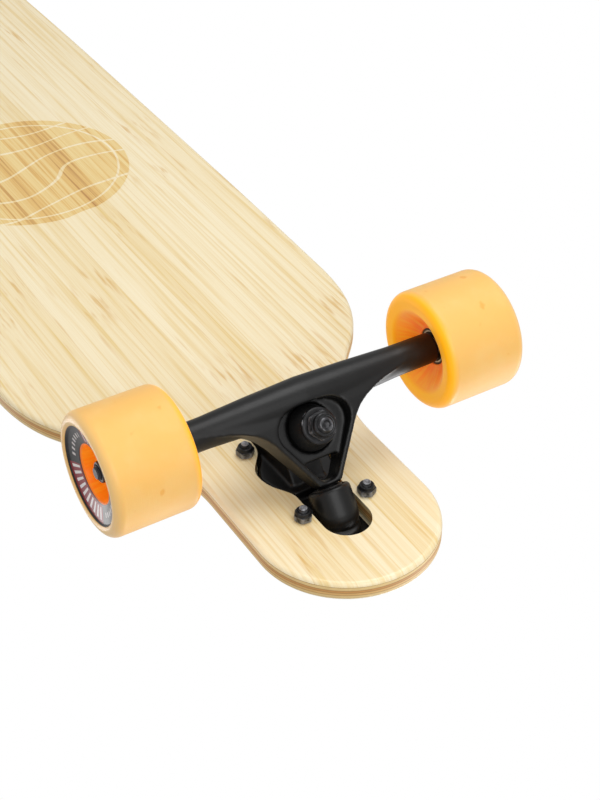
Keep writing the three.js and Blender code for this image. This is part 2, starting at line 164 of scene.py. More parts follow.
# %% Small helpers for materials
class Shader:
    """A material or a group under construction: nodes are added, set and linked in one call each."""

    def __init__(self, tree):
        self.tree = tree

    def add(self, kind, settings=None, **inputs):
        """A new node. Its inputs go by name, or by number as i0, i1 and so on."""
        node = self.tree.nodes.new(kind)
        for key, value in (settings or {}).items():
            setattr(node, key, value)
        for key, value in inputs.items():
            by_number = key[0] == "i" and key[1:].isdigit()
            self.feed(node, int(key[1:]) if by_number else key.replace("_", " "), value)
        return node

    def feed(self, node, key, value):
        socket = node.inputs[key]
        if isinstance(value, bpy.types.NodeSocket):
            self.tree.links.new(value, socket)
        else:
            socket.default_value = value

    def math(self, operation, *values):
        node = self.add("ShaderNodeMath", {"operation": operation})
        for index, value in enumerate(values):
            self.feed(node, index, value)
        return node.outputs[0]

    def times(self, a, b):
        return self.math("MULTIPLY", a, b)

    def times_plus(self, a, b, c):
        return self.math("MULTIPLY_ADD", a, b, c)

    def plus(self, a, b):
        return self.math("ADD", a, b)

    def less(self, a, b):
        return self.math("SUBTRACT", a, b)

    def larger(self, a, b):
        return self.math("MAXIMUM", a, b)

    def scaled(self, vector, by):
        return self.add("ShaderNodeVectorMath", {"operation": "MULTIPLY"}, i0=vector, i1=by).outputs[0]

    def stretch(self, vector, x, y, z):
        return self.scaled(vector, (x, y, z))

    def length(self, vector):
        return self.add("ShaderNodeVectorMath", {"operation": "LENGTH"}, i0=vector).outputs["Value"]

    def axes(self, vector):
        return self.add("ShaderNodeSeparateXYZ", Vector=vector).outputs

    def mix(self, amount, a, b):
        node = self.add("ShaderNodeMix", {"data_type": "RGBA"}, i0=amount, i6=a, i7=b)
        return node.outputs[2]

    def fade(self, value, low, high):
        """0 below low, 1 above high, smooth between. With low over high it fades out instead."""
        node = self.add("ShaderNodeMapRange", {"interpolation_type": "SMOOTHSTEP"}, Value=value)
        start, end = (0.0, 1.0) if low < high else (1.0, 0.0)
        for key, number in (("From Min", min(low, high)), ("From Max", max(low, high)),
                            ("To Min", start), ("To Max", end)):
            node.inputs[key].default_value = number
        return node.outputs[0]

    def band(self, value, low, high, soft):
        """1 between low and high, with soft borders inside them."""
        return self.times(self.fade(value, low, low + soft), self.fade(value, high, high - soft))

    def ramp(self, value, *stops):
        node = self.add("ShaderNodeValToRGB", Fac=value)
        elements = node.color_ramp.elements
        while len(elements) < len(stops):
            elements.new(0.5)
        for element, (position, colour) in zip(elements, stops):
            element.position = position
            element.color = colour
        return node.outputs["Color"]

    def noise(self, vector, scale, detail=3.0, rough=0.55):
        node = self.add("ShaderNodeTexNoise", Vector=vector, Scale=scale, Detail=detail, Roughness=rough)
        return node.outputs[0]


def colour(red, green, blue):
    """A colour given by its 0 to 255 screen values, as the shaders want it."""
    def linear(v):
        v /= 255
        return v / 12.92 if v <= 0.04045 else ((v + 0.055) / 1.055) ** 2.4
    return (linear(red), linear(green), linear(blue), 1.0)


def group(name, inputs, outputs):
    """An empty shader node group with a vector input, other named inputs and named outputs."""
    tree = bpy.data.node_groups.new(name, "ShaderNodeTree")
    tree.interface.new_socket("Vector", in_out="INPUT", socket_type="NodeSocketVector")
    for label, kind, default in inputs:
        socket = tree.interface.new_socket(label, in_out="INPUT", socket_type="NodeSocket" + kind)
        socket.default_value = default
    for label, kind in outputs:
        tree.interface.new_socket(label, in_out="OUTPUT", socket_type="NodeSocket" + kind)
    shader = Shader(tree)
    shader.given = tree.nodes.new("NodeGroupInput").outputs
    shader.result = tree.nodes.new("NodeGroupOutput")
    return shader


def material(name, roughness=0.5, metallic=0.0, **fixed):
    """A material with its Principled shader, and a Shader to build the rest with."""
    made = bpy.data.materials.new(name)
    made.use_nodes = True
    shader = Shader(made.node_tree)
    shader.surface = made.node_tree.nodes["Principled BSDF"]
    shader.surface.inputs["Roughness"].default_value = roughness
    shader.surface.inputs["Metallic"].default_value = metallic
    for key, value in fixed.items():
        shader.surface.inputs[key.replace("_", " ")].default_value = value
    shader.place = shader.add("ShaderNodeTexCoord").outputs["Object"]
    return made, shader


def use(shader, tree, **inputs):
    """Places a group in a material."""
    node = shader.tree.nodes.new("ShaderNodeGroup")
    node.node_tree = tree
    for key, value in inputs.items():
        shader.feed(node, key.replace("_", " "), value)
    return node.outputs


def dress(shader, base, rough=None, height=None, depth=0.0001, strength=1.0):
    """Links colour, roughness and a bump to the Principled shader."""
    shader.feed(shader.surface, "Base Color", base)
    if rough is not None:
        shader.feed(shader.surface, "Roughness", rough)
    if height is not None:
        bump = shader.add("ShaderNodeBump", Height=height, Distance=depth, Strength=strength)
        shader.feed(shader.surface, "Normal", bump.outputs[0])


# %% [markdown]
# The floor is one large sheet a hair below the wheels. It fades into the surround with distance, so that
# no horizon shows.


# %% Floor
FLOOR_REACH = 4.0
FLOOR_FADE = (0.7, 2.4)
FLOOR_DROP = 0.3 * MM


def floor_sheet():
    """A pale floor that fades out into the surround, is seen from above only and lights nothing."""
    mesh = bpy.data.meshes.new("floor")
    signs = ((-1, -1), (1, -1), (1, 1), (-1, 1))
    corners = [(x * FLOOR_REACH, y * FLOOR_REACH, -FLOOR_DROP) for x, y in signs]
    mesh.from_pydata(corners, [], [(0, 1, 2, 3)])
    floor = in_scene("floor", mesh)
    made, shader = material("pale_floor", roughness=0.6)
    mottle = shader.noise(shader.place, 3.0, 2.0)
    dress(shader, shader.mix(mottle, (0.80, 0.80, 0.80, 1), (0.84, 0.84, 0.84, 1)))
    seen_from_below = shader.add("ShaderNodeNewGeometry").outputs["Backfacing"]
    away = shader.length(shader.place)
    unseen = shader.larger(seen_from_below, shader.fade(away, *FLOOR_FADE))
    clear = shader.add("ShaderNodeBsdfTransparent")
    mix = shader.add("ShaderNodeMixShader", i0=unseen, i1=shader.surface.outputs[0], i2=clear.outputs[0])
    shader.feed(shader.tree.nodes["Material Output"], "Surface", mix.outputs[0])
    mesh.materials.append(made)
    for path in ("diffuse", "glossy", "transmission", "shadow"):
        setattr(floor, "visible_" + path, False)


floor_sheet()
print("floor fades out from", FLOOR_FADE[0], "to", FLOOR_FADE[1], "m")

# %% [markdown]
# ## Bamboo
#
# A bamboo veneer is made of strips about 20 mm wide, cut from many stems and glued edge to edge, so each
# has its own tone. Fine fibres run along every strip, and now and then a strip crosses a node of its
# stem, which leaves a short honey-coloured mark. One group holds this and both veneers use it. The
# pattern could be an image, but a procedure stays sharp at any distance and runs on over the rounded
# edge.


# %% The bamboo group
PALE = colour(251, 237, 202)
HONEY = colour(232, 200, 126)
MARK = colour(220, 176, 98)
STRIP_WIDTH = 19 * MM
NODE_SPACING = 0.27


def bamboo_group():
    """Strips, fibres and node marks. Gives the wood's colour, a height for its bump and its tone alone."""
    g = group(
        "bamboo_strips",
        [("Strip Width", "Float", STRIP_WIDTH), ("Seed", "Float", 0.0), ("Pale", "Color", PALE),
         ("Honey", "Color", HONEY), ("Mark", "Color", MARK)],
        [("Color", "Color"), ("Height", "Float"), ("Tone", "Float")],
    )
    split = g.axes(g.given["Vector"])
    across = g.math("DIVIDE", split["Y"], g.given["Strip Width"])
    across = g.plus(across, g.given["Seed"])
    wander = g.noise(g.stretch(g.given["Vector"], 0.0, 31.0, 0.0), 1.0, 1.0)
    across = g.times_plus(wander, 1.6, across)
    strip = g.math("FLOOR", across)
    within = g.less(across, strip)
    strip_code = g.add("ShaderNodeCombineXYZ", X=strip, Y=g.given["Seed"]).outputs[0]
    of_strip = g.add("ShaderNodeTexWhiteNoise", {"noise_dimensions": "3D"}, Vector=strip_code).outputs
    shift = g.times(of_strip["Value"], NODE_SPACING)
    along = g.plus(split["X"], shift)

    broad = g.noise(g.stretch(g.given["Vector"], 2.6, 110.0, 6.0), 1.0, 3.0)
    streak = g.noise(g.stretch(g.given["Vector"], 6.5, 400.0, 20.0), 1.0, 2.0, 0.5)
    fine = g.noise(g.stretch(g.given["Vector"], 11.0, 1000.0, 60.0), 1.0, 3.0, 0.7)
    threads = g.noise(g.stretch(g.given["Vector"], 5.0, 2600.0, 160.0), 1.0, 2.0, 0.6)
    tone = g.times_plus(of_strip["Value"], 0.34, g.times_plus(broad, 0.75, -0.36))
    tone = g.times_plus(g.fade(streak, 0.46, 0.74), 0.52, tone)
    tone = g.times_plus(g.less(fine, 0.5), 0.75, tone)
    tone = g.times_plus(g.less(threads, 0.5), 0.45, tone)

    # a strip crosses a node of its stem about every 270 mm, at its own place
    from_node = g.math("ABSOLUTE", g.less(g.math("FRACT", g.math("DIVIDE", along, NODE_SPACING)), 0.5))
    near_node = g.fade(from_node, 0.13, 0.0)
    flecks = g.noise(g.stretch(g.given["Vector"], 34.0, 360.0, 20.0), 1.0, 2.0, 0.5)
    mark = g.times(near_node, g.fade(flecks, 0.50, 0.70))
    strays = g.noise(g.stretch(g.given["Vector"], 17.0, 300.0, 20.0), 1.0, 1.0, 0.5)
    stray = g.times(g.fade(strays, 0.66, 0.80), 0.6)
    mark = g.larger(mark, stray)

    seam = g.fade(g.math("ABSOLUTE", g.less(within, 0.5)), 0.478, 0.5)
    wood = g.mix(tone, g.given["Pale"], g.given["Honey"])
    wood = g.mix(g.times(mark, 0.75), wood, g.given["Mark"])
    wood = g.mix(g.times(seam, 0.3), wood, g.given["Mark"])
    height = g.less(g.times(fine, 0.7), g.times(seam, 0.5))
    g.feed(g.result, "Color", wood)
    g.feed(g.result, "Height", height)
    g.feed(g.result, "Tone", tone)
    return g.tree


bamboo_strips = bamboo_group()
print("bamboo strips", round(STRIP_WIDTH / MM), "mm wide")

# %% [markdown]
# The veneer under the board carries a burnt disc. A laser scorches the wood where it passes and leaves it
# pale where it doesn't, and it burns soft strips deeper than hard ones. Here the disc is a plain one,
# crossed by wavy lines that are left pale, and its depth follows the strip's tone.


# %% Veneer materials
DISC_RADIUS = 74 * MM
RING_RADIUS = 66 * MM
LINE_SPACING = 26 * MM
DISC_PLACE = (bolts_x - 388 * MM, -2 * MM, underside)


def bottom_veneer():
    """Lacquered bamboo with the burnt disc."""
    made, m = material("bamboo_underside", roughness=0.38, Coat_Weight=0.25, Coat_Roughness=0.25)
    wood = use(m, bamboo_strips, Vector=m.place, Seed=3.0)
    spot = m.add("ShaderNodeVectorMath", {"operation": "SUBTRACT"}, i0=m.place, i1=DISC_PLACE).outputs[0]
    flat_spot = m.stretch(spot, 1, 1, 0)
    reach = m.length(flat_spot)
    ragged = m.times_plus(m.noise(m.place, 900.0, 2.0), 0.6 * MM, reach)
    inside = m.fade(ragged, DISC_RADIUS + 0.3 * MM, DISC_RADIUS - 0.4 * MM)
    swell = m.noise(m.stretch(spot, 14.0, 9.0, 0.0), 1.0, 1.0, 0.4)
    level = m.times_plus(swell, 0.085, m.axes(flat_spot)["X"])
    wave = m.math("ABSOLUTE", m.less(m.math("FRACT", m.math("DIVIDE", level, LINE_SPACING)), 0.5))
    pale_lines = m.fade(wave, 0.055, 0.03)
    ring = m.fade(m.math("ABSOLUTE", m.less(reach, RING_RADIUS)), 1.0 * MM, 0.6 * MM)
    burn = m.times(inside, m.less(1.0, m.larger(pale_lines, ring)))
    scorch = m.ramp(wood["Tone"], (0.0, colour(240, 214, 148)), (0.45, colour(227, 184, 105)),
                    (1.0, colour(178, 122, 62)))
    base = m.mix(m.times(burn, 0.92), wood["Color"], scorch)
    rough = m.times_plus(burn, 0.22, m.times_plus(wood["Height"], 0.12, 0.32))
    height = m.less(wood["Height"], m.times(burn, 0.8))
    dress(m, base, rough, height, depth=0.12 * MM, strength=0.55)
    return made


def top_veneer():
    """The same bamboo, plain, for the top face and its rounded edge."""
    made, m = material("bamboo_top", roughness=0.4, Coat_Weight=0.25, Coat_Roughness=0.25)
    wood = use(m, bamboo_strips, Vector=m.place, Seed=17.0)
    rough = m.times_plus(wood["Height"], 0.14, 0.34)
    dress(m, wood["Color"], rough, wood["Height"], depth=0.12 * MM, strength=0.5)
    return made


# %% [markdown]
# Between the veneers lie the inner plies. Where the edge is sanded through them they show as bands: pale
# maple, brown bamboo laid on its side, and a thin dark line of glue at each joint. The bands are a
# function of height alone, so the same material serves the outside edge and the walls of the cut-outs.


# %% Core material
def core_plies():
    """Bands of plies and glue lines by height, with end grain that changes along the edge."""
    made, m = material("sanded_plies", roughness=0.5)
    low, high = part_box("deck_core")[0].z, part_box("deck_core")[1].z
    up = m.axes(m.place)["Z"]
    sway = m.times_plus(m.noise(m.stretch(m.place, 9.0, 9.0, 0.0), 1.0, 2.0), 0.5 * MM, -0.25 * MM)
    level = m.add("ShaderNodeMapRange", Value=m.plus(up, sway), From_Min=low, From_Max=high).outputs[0]
    glue = colour(158, 110, 58)
    maple = colour(248, 216, 150)
    brown = colour(220, 162, 92)
    tan = colour(238, 192, 120)
    bands = m.ramp(
        level,
        (0.0, glue), (0.05, maple), (0.26, maple), (0.285, glue), (0.33, brown), (0.47, brown), (0.5, glue),
        (0.54, tan), (0.70, tan), (0.73, glue), (0.77, maple), (0.95, maple), (1.0, glue),
    )
    grain = m.noise(m.stretch(m.place, 260.0, 260.0, 1400.0), 1.0, 3.0, 0.65)
    pores = m.noise(m.stretch(m.place, 60.0, 60.0, 2500.0), 1.0, 2.0)
    tint = m.times_plus(m.plus(grain, pores), 0.40, -0.22)
    base = m.mix(tint, bands, colour(120, 78, 38))
    dress(m, base, m.times_plus(grain, 0.2, 0.42), grain, depth=0.03 * MM, strength=0.4)
    return made


# %% [markdown]
# ## The deck's outline
#
# A drop-through deck is wide between the wheels, necks in where they turn, and ends in a round nose. Its
# edge is drawn as one chain of curves for a quarter of the board, then mirrored. The same few curves give
# all layers, so the plies line up. Subdividing a coarse mesh would be quicker but would round the flat
# faces too.


# %% Outline helpers
def bezier(start, pull_a, pull_b, end, steps):
    """Points along a cubic curve, without its last one."""
    points = []
    for i in range(steps):
        t = i / steps
        weights = ((1 - t) ** 3, 3 * t * (1 - t) ** 2, 3 * t * t * (1 - t), t ** 3)
        points.append(tuple(
            sum(w * p[axis] for w, p in zip(weights, (start, pull_a, pull_b, end))) for axis in (0, 1)
        ))
    return points


def arc(centre, radius, start, end, steps):
    """Points along a circle's arc, in degrees, without its last one."""
    turns = [math.radians(start + (end - start) * i / steps) for i in range(steps)]
    return [(centre[0] + radius * math.cos(a), centre[1] + radius * math.sin(a)) for a in turns]


def mirrored(points):
    """The same outline below the X axis, walked backwards."""
    return [(x, -y) for x, y in reversed(points)]


def offset(points, inset):
    """A closed outline moved towards its right-hand side as it is walked."""
    moved = []
    count = len(points)
    for i, (x, y) in enumerate(points):
        before, after = points[i - 1], points[(i + 1) % count]
        dx, dy = after[0] - before[0], after[1] - before[1]
        length = math.hypot(dx, dy) or 1.0
        moved.append((x + dy / length * inset, y - dx / length * inset))
    return moved


# %% Outlines
half_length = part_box("deck_core")[1].x / MM
half_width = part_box("deck_core")[1].y / MM
bolts = bolts_x / MM
NOSE_RADIUS = 53.5
NECK_WIDTH = 54.0
SHOULDER_SHARE = 119.0 / 120.65
BOLT_HOLE_RADIUS = 2.8


def deck_outline():
    """The deck's edge in millimetres, walked clockwise from its straight side."""
    def at(from_bolts, y):
        return (bolts + from_bolts, y)

    nose = half_length - NOSE_RADIUS
    shoulder, waist = SHOULDER_SHARE * half_width, 91.0
    quarter = bezier(at(-330, half_width), at(-260, half_width),
                     at(-215, shoulder + 0.4), at(-176, shoulder), 14)
    quarter += bezier(at(-176, shoulder), at(-142, shoulder - 0.4), at(-116, 112), at(-94, waist), 22)
    quarter += bezier(at(-94, waist), at(-74, 72), at(-52, NECK_WIDTH), at(-14, NOSE_RADIUS), 26)
    quarter += [at(-14, NOSE_RADIUS), at(12, NOSE_RADIUS)]
    quarter += arc((nose, 0), NOSE_RADIUS, 90, 0, 34)
    end = quarter + [(half_length, 0.0)] + mirrored(quarter)
    return end + [(-x, -y) for x, y in end]


def cutout_outline():
    """The hole that a truck drops through, counted from the middle of its bolts, walked anticlockwise."""
    narrow, neck, wing = 15.0, 12.8, 24.8
    half = arc((43, 0), narrow, 0, 90, 14)
    half += [(43, narrow)]
    half += bezier((16, narrow), (7, narrow), (4, wing), (-11, wing), 14)
    half += bezier((-11, wing), (-22, wing), (-25, neck), (-37, neck), 14)
    half += arc((-40, 0), neck, 90, 180, 14)
    return half + [(-40 - neck, 0.0)] + mirrored(half)[:-1]


def deck_holes():
    """Both cut-outs and all eight bolt holes, in place."""
    local = [cutout_outline()]
    for place in nut_places:
        local.append(arc((place.x / MM - bolts, place.y / MM), BOLT_HOLE_RADIUS, 0, 360, 20))
    front = [[(bolts + x, y) for x, y in hole] for hole in local]
    return front + [[(-x, -y) for x, y in hole] for hole in front]


edge = deck_outline()
holes = deck_holes()
print("deck edge:", len(edge), "points;", len(holes), "holes")

# %% [markdown]
# ## Building the layers
#
# Each layer is a stack of rings. Every ring is the edge moved in by the amount that the router's rounding
# bit takes off at that height, and the holes have a small chamfer of their own. The flat faces are filled
# between the outer ring and the holes. The edge between a flat face and its rounding is marked sharp,
# because the rounding starts level with the face and the shading would otherwise bleed across the whole
# deck.


# %% Layer builder
HOLE_CHAMFER = 0.6 * MM


def finish_mesh(name, bm, angle, materials):
    """Turns a bmesh into a smooth object with its normals outward and its sharp edges marked."""
    bmesh.ops.recalc_face_normals(bm, faces=bm.faces)
    mesh = bpy.data.meshes.new(name)
    bm.to_mesh(mesh)
    bm.free()
    for polygon in mesh.polygons:
        polygon.use_smooth = True
    mesh.set_sharp_from_angle(angle=math.radians(angle))
    for item in materials:
        mesh.materials.append(item)
    return in_scene(name, mesh)


def layer(name, levels, outline, openings, finish):
    """A layer of the deck. Levels are (height, inset of the edge, chamfer of the holes), all in metres."""
    bm = bmesh.new()
    first_rings, last_rings = [], []
    for loop, is_edge in [(outline, True)] + [(hole, False) for hole in openings]:
        rings = []
        for height, inset, chamfer in levels:
            amount = inset if is_edge else chamfer
            points = offset(loop, amount / MM) if amount else loop
            rings.append([bm.verts.new((x * MM, y * MM, height)) for x, y in points])
        for lower, upper in zip(rings, rings[1:]):
            for i in range(len(loop)):
                bm.faces.new((lower[i - 1], lower[i], upper[i], upper[i - 1]))
        first_rings.append(rings[0])
        last_rings.append(rings[-1])
    for rings in (first_rings, last_rings):
        rims = []
        for ring in rings:
            rims += [bm.edges.get((ring[i - 1], ring[i])) for i in range(len(ring))]
        bmesh.ops.triangle_fill(bm, use_beauty=True, use_dissolve=False, edges=rims)
    made = finish_mesh(name, bm, angle=40, materials=[finish])
    sharpen_flat_rims(made.data)
    return made


def sharpen_flat_rims(mesh):
    """Marks the border of each horizontal face sharp."""
    flat = [abs(p.normal.z) > 0.9999 for p in mesh.polygons]
    sides = {}
    for index, polygon in enumerate(mesh.polygons):
        for key in polygon.edge_keys:
            sides.setdefault(key, []).append(flat[index])
    sharp = mesh.attributes.get("sharp_edge") or mesh.attributes.new("sharp_edge", "BOOLEAN", "EDGE")
    for mesh_edge in mesh.edges:
        pair = sides[tuple(sorted(mesh_edge.vertices))]
        if len(pair) == 2 and pair[0] != pair[1]:
            sharp.data[mesh_edge.index].value = True


def rounding(face, direction, radius, steps=7):
    """Levels of a rounded edge, from the flat face inwards: (height, inset, chamfer)."""
    levels = []
    for i in range(steps + 1):
        a = math.radians(90) * i / steps
        rise = radius * (1 - math.cos(a))
        levels.append((face + direction * rise, radius * (1 - math.sin(a)), -max(HOLE_CHAMFER - rise, 0.0)))
    return levels


# %% [markdown]
# A real deck is pressed as one sandwich and then routed, so its rounded edge runs on from layer to layer.
# Each layer here therefore takes its own part of the same rounding, and at a joint the edge steps in by a
# hair, where the sanding leaves the glue line a little low.


# %% Deck pieces
ROUND_OVER = 3.0 * MM
GLUE_STEP = 0.12 * MM
STEP_HEIGHT = 0.8 * MM
LEAST_GAP = 0.05 * MM
veneer_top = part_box("deck_bottom_veneer")[1].z
core_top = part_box("deck_core")[1].z

lower_levels = [level for level in rounding(underside, 1, ROUND_OVER) if level[0] < veneer_top - LEAST_GAP]
lower_levels.append((veneer_top, GLUE_STEP, 0.0))
bottom_sheet = layer("bottom_veneer", lower_levels, edge, holes, bottom_veneer())

middle_levels = [(veneer_top, GLUE_STEP, 0.0), (veneer_top + STEP_HEIGHT, 0.0, 0.0),
                 (core_top - STEP_HEIGHT, 0.0, 0.0), (core_top, GLUE_STEP, 0.0)]
core_sheet = layer("core_plies", middle_levels, edge, holes, core_plies())

upper_levels = [level for level in rounding(deck_top, -1, ROUND_OVER) if level[0] > core_top + LEAST_GAP]
upper_levels.append((core_top, GLUE_STEP, 0.0))
top_sheet = layer("top_veneer", upper_levels[::-1], edge, holes, top_veneer())

for sheet, node, slot in ((bottom_sheet, "deck_bottom_veneer", "bamboo_veneer"),
                          (core_sheet, "deck_core", "bamboo_core"),
                          (top_sheet, "deck_top_veneer", "bamboo_veneer")):
    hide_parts(node)
    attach(sheet, "root")
    print(sheet.name, len(sheet.data.polygons), "faces")

# %% [markdown]
# ## Grip tape
#
# The top is covered with grip tape: black silicon carbide grit on a sticky sheet, cut back a little from
# the rounded edge and round each truck's plate. The grit could be scattered as real grains, but millions
# of them would be needed. A fine bump with a few glinting grains reads the same.


# %% Grip tape
def grit():
    """Coarse black grit with a sparkle here and there."""
    made, m = material("grit", roughness=0.9)
    grains = m.add("ShaderNodeTexVoronoi", Vector=m.place, Scale=2100.0)
    worn = m.noise(m.stretch(m.place, 7.0, 16.0, 1.0), 1.0, 4.0, 0.6)
    glint = m.fade(m.add("ShaderNodeSeparateColor", Color=grains.outputs["Color"]).outputs[0], 0.93, 0.99)
    base = m.mix(m.times(worn, 0.6), colour(24, 24, 25), colour(52, 51, 50))
    base = m.mix(m.times(glint, 0.5), base, colour(140, 140, 142))
    rough = m.times_plus(glint, -0.55, 0.93)
    dress(m, base, rough, grains.outputs["Distance"], depth=0.25 * MM, strength=0.8)
    return made


def plate_window(margin=1.5):
    """The outline cut from the tape round a baseplate, walked anticlockwise."""
    low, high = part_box("front_baseplate")
    radius = 12 + margin
    left, right = low.x / MM - margin + radius, high.x / MM + margin - radius
    side = high.y / MM + margin - radius
    return (arc((right, side), radius, 0, 90, 8) + arc((left, side), radius, 90, 180, 8)
            + arc((left, -side), radius, 180, 270, 8) + arc((right, -side), radius, 270, 360, 8))


tape_low, tape_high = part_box("grip_tape")
tape_inset = half_width - tape_high.y / MM
window = plate_window()
tape_levels = [(tape_low.z, 0.0, 0.0), (tape_high.z - 0.2 * MM, 0.0, 0.0), (tape_high.z, 0.2 * MM, -0.2 * MM)]
tape = layer("grip_sheet", tape_levels, offset(edge, tape_inset),
             [window, [(-x, -y) for x, y in window]], grit())
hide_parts("grip_tape")
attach(tape, "root")
print("grip tape, cut back by", round(tape_inset, 1), "mm")

# %% [markdown]
# ## Surfaces of the hardware
#
# Three small groups serve all the metal and rubber. The first is the faint orange peel of a sprayed coat,
# the second the lighter edges, which are wear on a coat and on steel partly wear and partly a painted
# glint, and the third the fine turning marks of a steel part. Each material sets their sizes itself, so a
# casting can be coarse and a nut fine.


# %% Surface groups
def orange_peel_group():
    """The skin of a sprayed coat, with faint dust."""
    g = group(
        "orange_peel",
        [("Scale", "Float", 900.0), ("Dust", "Float", 0.3)],
        [("Height", "Float"), ("Roughness", "Float"), ("Dust", "Float")],
    )
    skin = g.noise(g.given["Vector"], g.given["Scale"], 2.0, 0.5)
    cloud = g.noise(g.given["Vector"], 34.0, 4.0, 0.6)
    g.feed(g.result, "Height", skin)
    g.feed(g.result, "Roughness", g.times_plus(cloud, 0.22, 0.30))
    g.feed(g.result, "Dust", g.times(g.fade(cloud, 0.5, 0.8), g.given["Dust"]))
    return g.tree


def edge_wear_and_glint_group():
    """Lighter sharp or proud edges, 1 on them: wear on a coat, and on steel partly wear and partly a painted
    glint.
    """
    g = group(
        "edge_wear_and_glint",
        [("Pointiness", "Float", 0.5), ("Start", "Float", 0.53), ("Amount", "Float", 1.0)],
        [("Mask", "Float")],
    )
    ragged = g.times_plus(g.noise(g.given["Vector"], 420.0, 3.0), 0.06, g.given["Pointiness"])
    over = g.less(ragged, g.given["Start"])
    g.feed(g.result, "Mask", g.times(g.fade(over, 0.03, 0.07), g.given["Amount"]))
    return g.tree


def tool_marks_group():
    """Fine marks along a turned or ground part."""
    g = group(
        "tool_marks",
        [("Stretch", "Vector", (200.0, 2500.0, 200.0))],
        [("Height", "Float"), ("Roughness", "Float"), ("Tint", "Float")],
    )
    drawn = g.scaled(g.given["Vector"], g.given["Stretch"])
    lines = g.noise(drawn, 1.0, 2.0, 0.6)
    blot = g.noise(g.given["Vector"], 160.0, 3.0)
    g.feed(g.result, "Height", lines)
    g.feed(g.result, "Roughness", g.times_plus(lines, 0.25, g.times_plus(blot, 0.2, 0.12)))
    g.feed(g.result, "Tint", blot)
    return g.tree


orange_peel = orange_peel_group()
edge_wear_and_glint = edge_wear_and_glint_group()
tool_marks = tool_marks_group()
print("groups:", orange_peel.name, edge_wear_and_glint.name, tool_marks.name)


# %% Metal and rubber
def coated_casting():
    """Cast alloy under a satin black coat, a little rubbed on its edges."""
    made, m = material("coated_casting", roughness=0.4, Specular_IOR_Level=0.38)
    coat = use(m, orange_peel, Vector=m.place, Scale=1100.0, Dust=0.35)
    bent = m.add("ShaderNodeNewGeometry").outputs["Pointiness"]
    worn = use(m, edge_wear_and_glint, Vector=m.place, Pointiness=bent, Start=0.535, Amount=0.28)
    base = m.mix(coat["Dust"], colour(13, 13, 13), colour(32, 31, 30))
    base = m.mix(worn["Mask"], base, colour(84, 84, 86))
    dress(m, base, coat["Roughness"], coat["Height"], depth=0.06 * MM, strength=0.5)
    return made


def black_steel(name, dark, bright, wear_and_glint):
    """Blackened steel, brighter where tools have touched, with lighter edges that are partly wear and partly
    a painted glint.
    """
    made, m = material(name, roughness=0.35, metallic=0.3, Specular_IOR_Level=0.45)
    marks = use(m, tool_marks, Vector=m.place, Stretch=(900.0, 900.0, 2600.0))
    bent = m.add("ShaderNodeNewGeometry").outputs["Pointiness"]
    worn = use(m, edge_wear_and_glint, Vector=m.place, Pointiness=bent, Start=0.55, Amount=wear_and_glint)
    blue_black, rubbed = colour(dark, dark, dark + 2), colour(bright, bright, bright + 3)
    base = m.mix(m.fade(marks["Tint"], 0.4, 0.7), blue_black, rubbed)
    # lighter edges: partly rubbed steel, partly a painted glint in place of highlights
    base = m.mix(worn["Mask"], base, colour(176, 177, 182))
    dress(m, base, m.plus(marks["Roughness"], 0.06), marks["Height"], depth=0.05 * MM, strength=0.5)
    return made


def bright_steel(name, light, dull):
    """Bare or plated steel with fine turning marks."""
    made, m = material(name, roughness=0.25, metallic=1.0)
    marks = use(m, tool_marks, Vector=m.place, Stretch=(900.0, 2600.0, 900.0))
    base = m.mix(marks["Tint"], colour(light, light + 1, light + 4), colour(dull, dull, dull + 2))
    dress(m, base, marks["Roughness"], marks["Height"], depth=0.04 * MM, strength=0.4)
    return made


def soft_black(name, tone, gloss):
    """Black rubber or nylon with a fine moulded grain."""
    made, m = material(name, roughness=gloss)
    grain = use(m, orange_peel, Vector=m.place, Scale=2400.0, Dust=0.6)
    base = m.mix(grain["Dust"], colour(tone, tone, tone), colour(tone + 22, tone + 21, tone + 20))
    rough = m.plus(grain["Roughness"], gloss - 0.4)
    dress(m, base, rough, grain["Height"], depth=0.05 * MM, strength=0.5)
    return made


casting = coated_casting()
# on both steels the lighter edges and thread ridges are partly wear and partly painted glints
blackened = black_steel("blackened_steel", 14, 38, 0.5)
rubbed_thread_and_glints = black_steel("rubbed_thread_and_glints", 28, 88, 1.0)
plated = bright_steel("plated_steel", 196, 168)
dulled = bright_steel("dulled_steel", 104, 70)
bushing_rubber = soft_black("bushing_rubber", 17, 0.48)
shield_rubber = soft_black("shield_rubber", 22, 0.55)
nylon = soft_black("nylon_ring", 30, 0.42)

# %% [markdown]
# ## Castings
#
# A hanger and a baseplate come out of a mould, so no edge on them is sharp and every join has a fillet.
# The working model gives their true form with crisp edges. Beveling so many crossing edges rarely works.
# Instead a copy of the solid is welded, rebuilt as an even skin of small faces, and relaxed step by step,
# which rounds each edge as sand or a die would. The rear truck is the front one turned round.


# %% Casting builder
SKIN = 0.75 * MM
RELAXING_STEPS = 14
HALF_TURN = Matrix.Rotation(math.pi, 4, "Z")


def welded_copy(node, name):
    """A copy of a node with its loose triangles joined."""
    bm = bmesh.new()
    bm.from_mesh(frame["nodes"][node].data)
    bmesh.ops.remove_doubles(bm, verts=bm.verts, dist=0.01 * MM)
    mesh = bpy.data.meshes.new(name)
    bm.to_mesh(mesh)
    bm.free()
    return in_scene(name, mesh)


def applied(made):
    """Applies an object's modifiers and gives it back as a plain mesh object."""
    view = bpy.context.evaluated_depsgraph_get()
    mesh = bpy.data.meshes.new_from_object(made.evaluated_get(view))
    made.modifiers.clear()
    made.data = mesh
    return made


def cast(node, name):
    """A casting's soft skin over a node's solid."""
    made = welded_copy(node, name)
    rebuild = made.modifiers.new("rebuild", "REMESH")
    rebuild.mode = "VOXEL"
    rebuild.voxel_size = SKIN
    relaxing = made.modifiers.new("relax", "SMOOTH")
    relaxing.factor = 0.5
    relaxing.iterations = RELAXING_STEPS
    applied(made)
    for polygon in made.data.polygons:
        polygon.use_smooth = True
    made.data.materials.clear()
    made.data.materials.append(casting)
    return made


